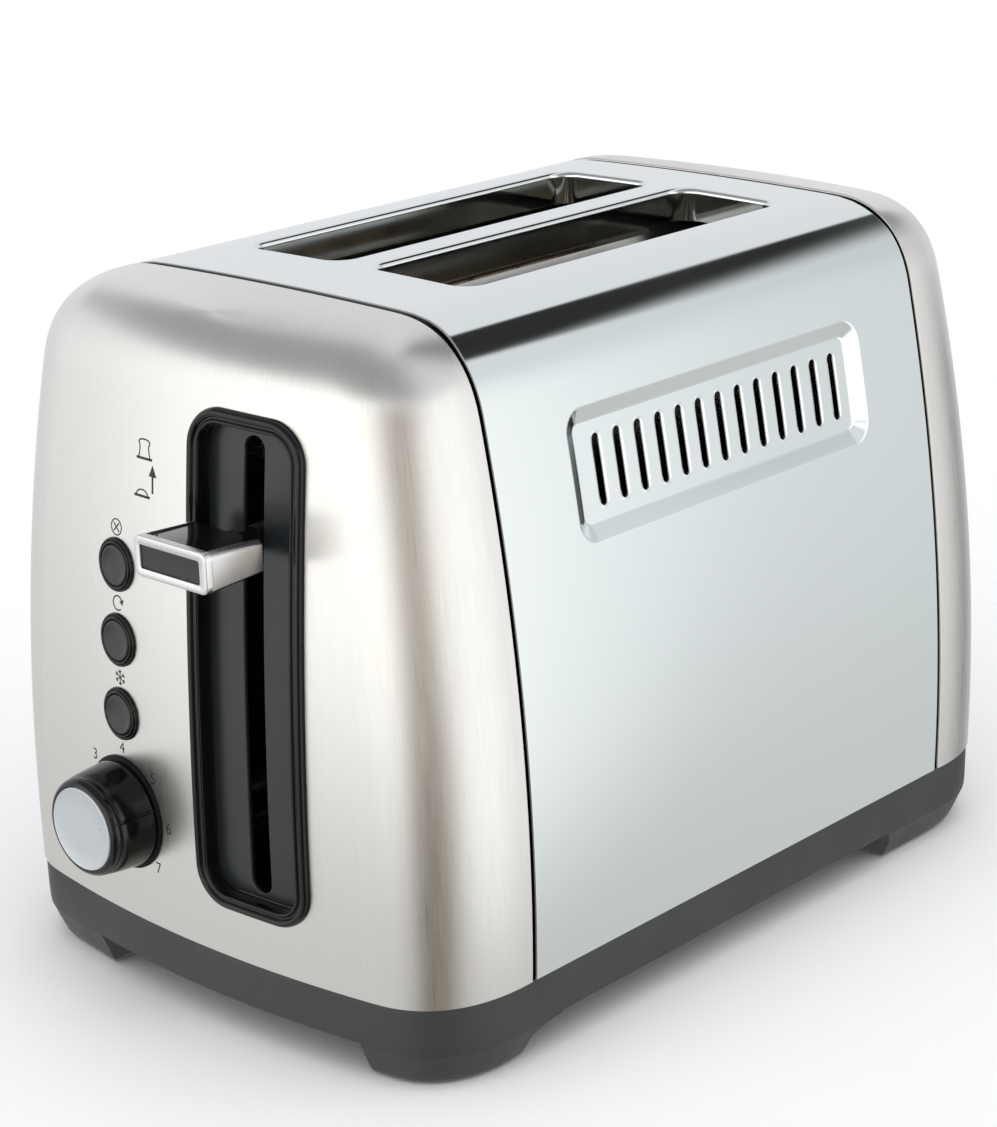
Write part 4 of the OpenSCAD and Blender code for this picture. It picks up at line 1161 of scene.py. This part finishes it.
def low_slice_mark(x, z):
    """The same slice, down in the toaster."""
    bow = arc(0, 0, 1, 0, 180, 18) * (2.4, 1.75) + (x, z)
    return [stroke(bow, 0.42), ground_mark(x, z)]


def arrow_mark(x, low, high):
    head = filled([(x - 1.55, high - 3.1), (x + 1.55, high - 3.1), (x, high)])
    return [stroke([(x, low), (x, high - 3.0)], 0.68), head]


def stop_mark(x, z):
    reach = 1.15
    cross = [stroke([(x - reach, z - s * reach), (x + reach, z + s * reach)], 0.42) for s in (-1, 1)]
    return [stroke(arc(x, z, 2.2, 0, 345), 0.38, True)] + cross


def again_mark(x, z):
    tip = arc(x, z, 2.0, 20, 20, 1)[0]
    head = filled([tip + (-1.1, -0.1), tip + (0.15, -1.15), tip + (0.75, 0.75)])
    return [stroke(arc(x, z, 2.0, 30, 310), 0.42), head]


def frost_mark(x, z):
    parts = []
    for k in range(6):
        turn = math.radians(60 * k + 30)
        out = np.array((math.cos(turn), math.sin(turn)))
        side = np.array((-out[1], out[0]))
        centre = np.array((x, z))
        parts.append(stroke([centre, centre + out * 2.2], 0.34))
        for s in (-1, 1):
            parts.append(stroke([centre + out * 1.25, centre + out * 1.9 + side * s * 0.6], 0.3))
    return parts


def digit_mark(digit, x, z):
    curve = bpy.data.curves.new("digit", "FONT")
    curve.body = digit
    curve.size = 4.7
    curve.align_x = "CENTER"
    curve.align_y = "CENTER"
    curve.offset = -0.012
    holder = bpy.data.objects.new("digit", curve)
    mesh = bpy.data.meshes.new_from_object(holder)
    points = np.array([v.co[:2] for v in mesh.vertices]) + (x, z)
    faces = [tuple(f.vertices) for f in mesh.polygons]
    bpy.data.objects.remove(holder)
    bpy.data.curves.remove(curve)
    bpy.data.meshes.remove(mesh)
    return points, faces


DIAL_R = 18.6
ICON_RISE = 10.3


def build_marks():
    parts = []
    for digit in range(1, 8):
        turn = math.radians(225 - 45 * (digit - 1))
        x, z = KNOB_X + DIAL_R * math.cos(turn), KNOB_Z + DIAL_R * math.sin(turn)
        parts.append(digit_mark(str(digit), x, z))
    parts += slice_mark(-12.6, 132.8) + low_slice_mark(-13.5, 122.6) + arrow_mark(-9.2, 123.9, 131.5)
    for k, icon in enumerate((frost_mark, again_mark, stop_mark)):
        parts += icon(BUTTON_X, BUTTON_Z + BUTTON_PITCH * k + ICON_RISE)
    flat, faces = join(parts)
    front = on_face(flat, 0.03)
    back = on_face(flat, 0.005)
    count = len(flat)
    a, b, c = [flat[rows] for rows in np.array([f[:3] for f in faces]).T]
    faces = [f if up > 0 else f[::-1] for f, up in zip(faces, spin(a, b, c))]
    solid = list(faces) + [tuple(i + count for i in f[::-1]) for f in faces]
    solid += [(j, i, i + count, j + count) for i, j in open_edges(faces)]
    add_piece("cap_marks", np.concatenate([front, back]), solid, "housing", ink)


# ------------------------------------------------------- camera, light, stage
def build_camera():
    """Long lens from the front right, a little above, with a slight roll."""
    az, el, roll = math.radians(43.24), math.radians(18.73), math.radians(-1.60)
    back = Vector((math.sin(az) * math.cos(el), -math.cos(az) * math.cos(el), math.sin(el)))
    level = Vector((math.cos(az), math.sin(az), 0))
    up = back.cross(level)
    right = math.cos(roll) * level + math.sin(roll) * up
    up = -math.sin(roll) * level + math.cos(roll) * up
    place = Matrix((right, up, back)).transposed().to_4x4()
    place.translation = Vector((0.5455, -0.5790, 0.3689))
    data = bpy.data.cameras.new("camera")
    data.sensor_fit = "VERTICAL"
    data.sensor_height = 36
    data.lens = 91.66
    camera = bpy.data.objects.new("camera", data)
    camera.matrix_world = place
    bpy.context.scene.collection.objects.link(camera)
    bpy.context.scene.camera = camera


def math_node(tree, operation, *values):
    node = tree.nodes.new("ShaderNodeMath")
    node.operation = operation
    for socket, value in zip(node.inputs, values):
        if isinstance(value, (int, float)):
            socket.default_value = value
        else:
            tree.links.new(value, socket)
    return node.outputs["Value"]


def soft_step(tree, value, edge, soft):
    """0 before the edge and 1 after it, in degrees."""
    low, high = math.radians(edge - soft), math.radians(edge + soft)
    step = add_node(tree, "MapRange", Value=value, From_Min=low, From_Max=high)
    step.interpolation_type = "SMOOTHSTEP"
    return step.outputs["Result"]


def card_share(tree, level, elevation, card):
    """How much of a card a direction sees, from 0 to 1."""
    middle, half, soft, low, high, soft_el, _ = card
    turn = math.radians(middle)
    towards = tree.nodes.new("ShaderNodeVectorMath")
    towards.operation = "DOT_PRODUCT"
    towards.inputs[1].default_value = (math.sin(turn), -math.cos(turn), 0)
    tree.links.new(level, towards.inputs[0])
    cosine = math_node(tree, "MINIMUM", towards.outputs["Value"], 0.999999)
    cosine = math_node(tree, "MAXIMUM", cosine, -0.999999)
    off = math_node(tree, "ARCCOSINE", cosine)
    across = math_node(tree, "SUBTRACT", 1.0, soft_step(tree, off, half, soft))
    above = soft_step(tree, elevation, low, soft_el)
    below = math_node(tree, "SUBTRACT", 1.0, soft_step(tree, elevation, high, soft_el))
    return math_node(tree, "MULTIPLY", across, math_node(tree, "MULTIPLY", above, below))


# What the steel sees round it, as soft-edged cards: azimuth 0 is the front and 90 the right.
# Middle azimuth, half width and softness, lowest and highest elevation, their softness, colour.
CARDS = {
    "floor": (0, 200, 1, -90, -19, 17, (0.62, 0.62, 0.60)),
    "side_wall": (122, 15, 4, -24, 24, 8, (1.08, 1.09, 1.10)),
    "front_box": (-12, 38, 10, -18, 30, 8, (1.50, 1.49, 1.45)),
    "right_box": (108, 24, 4, -25, 26, 5, (1.32, 1.32, 1.30)),
    "corner_flag": (55, 18, 8, -70, 26, 8, (0.38, 0.31, 0.24)),
    "corner_foot": (48, 21, 8, -80, -15, 7, (0.13, 0.10, 0.06)),
    "front_ceiling": (-6, 97, 8, 33, 100, 6, (0.33, 0.33, 0.34)),
    "back_flag": (168.5, 17.5, 2, 32, 72, 7, (0.03, 0.03, 0.03)),
    "rear_wall": (158, 13, 8, -34, 30, 10, (0.66, 0.68, 0.69)),
    "dish_glint": (79, 7, 2, -9, 5, 3, (1.40, 1.40, 1.38)),
    "rear_flag": (168, 9, 3, -31, -5, 3, (0.02, 0.02, 0.02)),
}
SKY = (0.84, 0.85, 0.88)


def studio_world():
    world = bpy.data.worlds.new("studio")
    world.use_nodes = True
    tree = world.node_tree
    coords = add_node(tree, "TexCoord")
    split = add_node(tree, "SeparateXYZ", Vector=coords.outputs["Generated"])
    elevation = math_node(tree, "ARCSINE", split.outputs["Z"])
    flat = add_node(tree, "CombineXYZ", X=split.outputs["X"], Y=split.outputs["Y"])
    level = tree.nodes.new("ShaderNodeVectorMath")
    level.operation = "NORMALIZE"
    tree.links.new(flat.outputs["Vector"], level.inputs[0])
    color = (*SKY, 1)
    for card in CARDS.values():
        share = card_share(tree, level.outputs["Vector"], elevation, card)
        color = mix_colors(tree, "MIX", share, color, (*card[-1], 1))
    tree.links.new(color, tree.nodes["Background"].inputs["Color"])
    bpy.context.scene.world = world


def camera_only(piece):
    """A stage object that lights nothing and shows in no reflection."""
    piece.visible_diffuse = False
    piece.visible_glossy = False
    piece.visible_transmission = False
    piece.visible_shadow = False


def sun(name, towards, angle, strength):
    """A broad sun that the steel does not mirror."""
    data = bpy.data.lights.new(name, "SUN")
    data.angle = math.radians(angle)
    data.energy = strength
    light = bpy.data.objects.new(name, data)
    light.matrix_world = Vector(towards).to_track_quat("Z", "Y").to_matrix().to_4x4()
    light.visible_glossy = False
    bpy.context.scene.collection.objects.link(light)


def build_stage():
    scene = bpy.context.scene
    scene.view_settings.view_transform = "Standard"
    studio_world()
    sun("soft_sun", (0.25, -0.3, 1.0), 75, 1.65)
    mesh = bpy.data.meshes.new("floor")
    mesh.from_pydata([(-4, -4, 0), (4, -4, 0), (4, 4, 0), (-4, 4, 0)], [], [(0, 1, 2, 3)])
    floor = bpy.data.objects.new("floor", mesh)
    floor.visible_glossy = False
    scene.collection.objects.link(floor)
    mesh.materials.append(new_material("floor_paper", (0.90, 0.90, 0.90), 0.0, 0.9, 0.0))
    ball = bmesh.new()
    bmesh.ops.create_uvsphere(ball, u_segments=48, v_segments=24, radius=9)
    mesh = bpy.data.meshes.new("backdrop")
    ball.to_mesh(mesh)
    ball.free()
    backdrop = bpy.data.objects.new("backdrop", mesh)
    scene.collection.objects.link(backdrop)
    paper = new_material("backdrop_paper", (0, 0, 0), 0.0, 1.0, 0.0)
    shader = paper.node_tree.nodes["Principled BSDF"]
    shader.inputs["Emission Color"].default_value = (1, 1, 1, 1)
    shader.inputs["Emission Strength"].default_value = 0.97
    mesh.materials.append(paper)
    camera_only(backdrop)


# ------------------------------------------------------ carried-over CAD nodes
CAD_LOOKS = (
    (rubber, "foot_pads"),
    (zinc, "base_screws frame_screws"),
    (tray_steel, "crumb_tray"),
    (charcoal, "tray_handle"),
    (dark_plastic, "cord_gland button_switches"),
    (ceramic, "terminal_block contact_block"),
    (chamber_steel, "front_frame rear_frame chamber_top carriage_plate lever_arm"),
    (guard_steel, "rack_left rack_right guard_left_outer guard_left_inner"),
    (guard_steel, "guard_right_inner guard_right_outer"),
    (reflector_steel, "reflector_left reflector_right"),
    (mica, "heater_board_left heater_board_center heater_board_right"),
    (heater_ribbon, "heater_wires"),
    (rod_steel, "guide_rod lift_spring board_posts pot_shaft"),
    (magnet_iron, "magnet_core keeper_plate"),
    (copper, "magnet_coil contact_leaves"),
    (board_green, "control_board"),
    (pot_metal, "pot_body"),
)


def dress_cad_nodes():
    for material, names in CAD_LOOKS:
        for name in names.split():
            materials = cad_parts[name].data.materials
            materials.clear()
            materials.append(material)


build_camera()
build_stage()
dress_cad_nodes()
build_shell()
build_caps()
build_base()
build_bezel()
build_panel()
build_buttons()
build_knob()
build_lever()
build_marks()
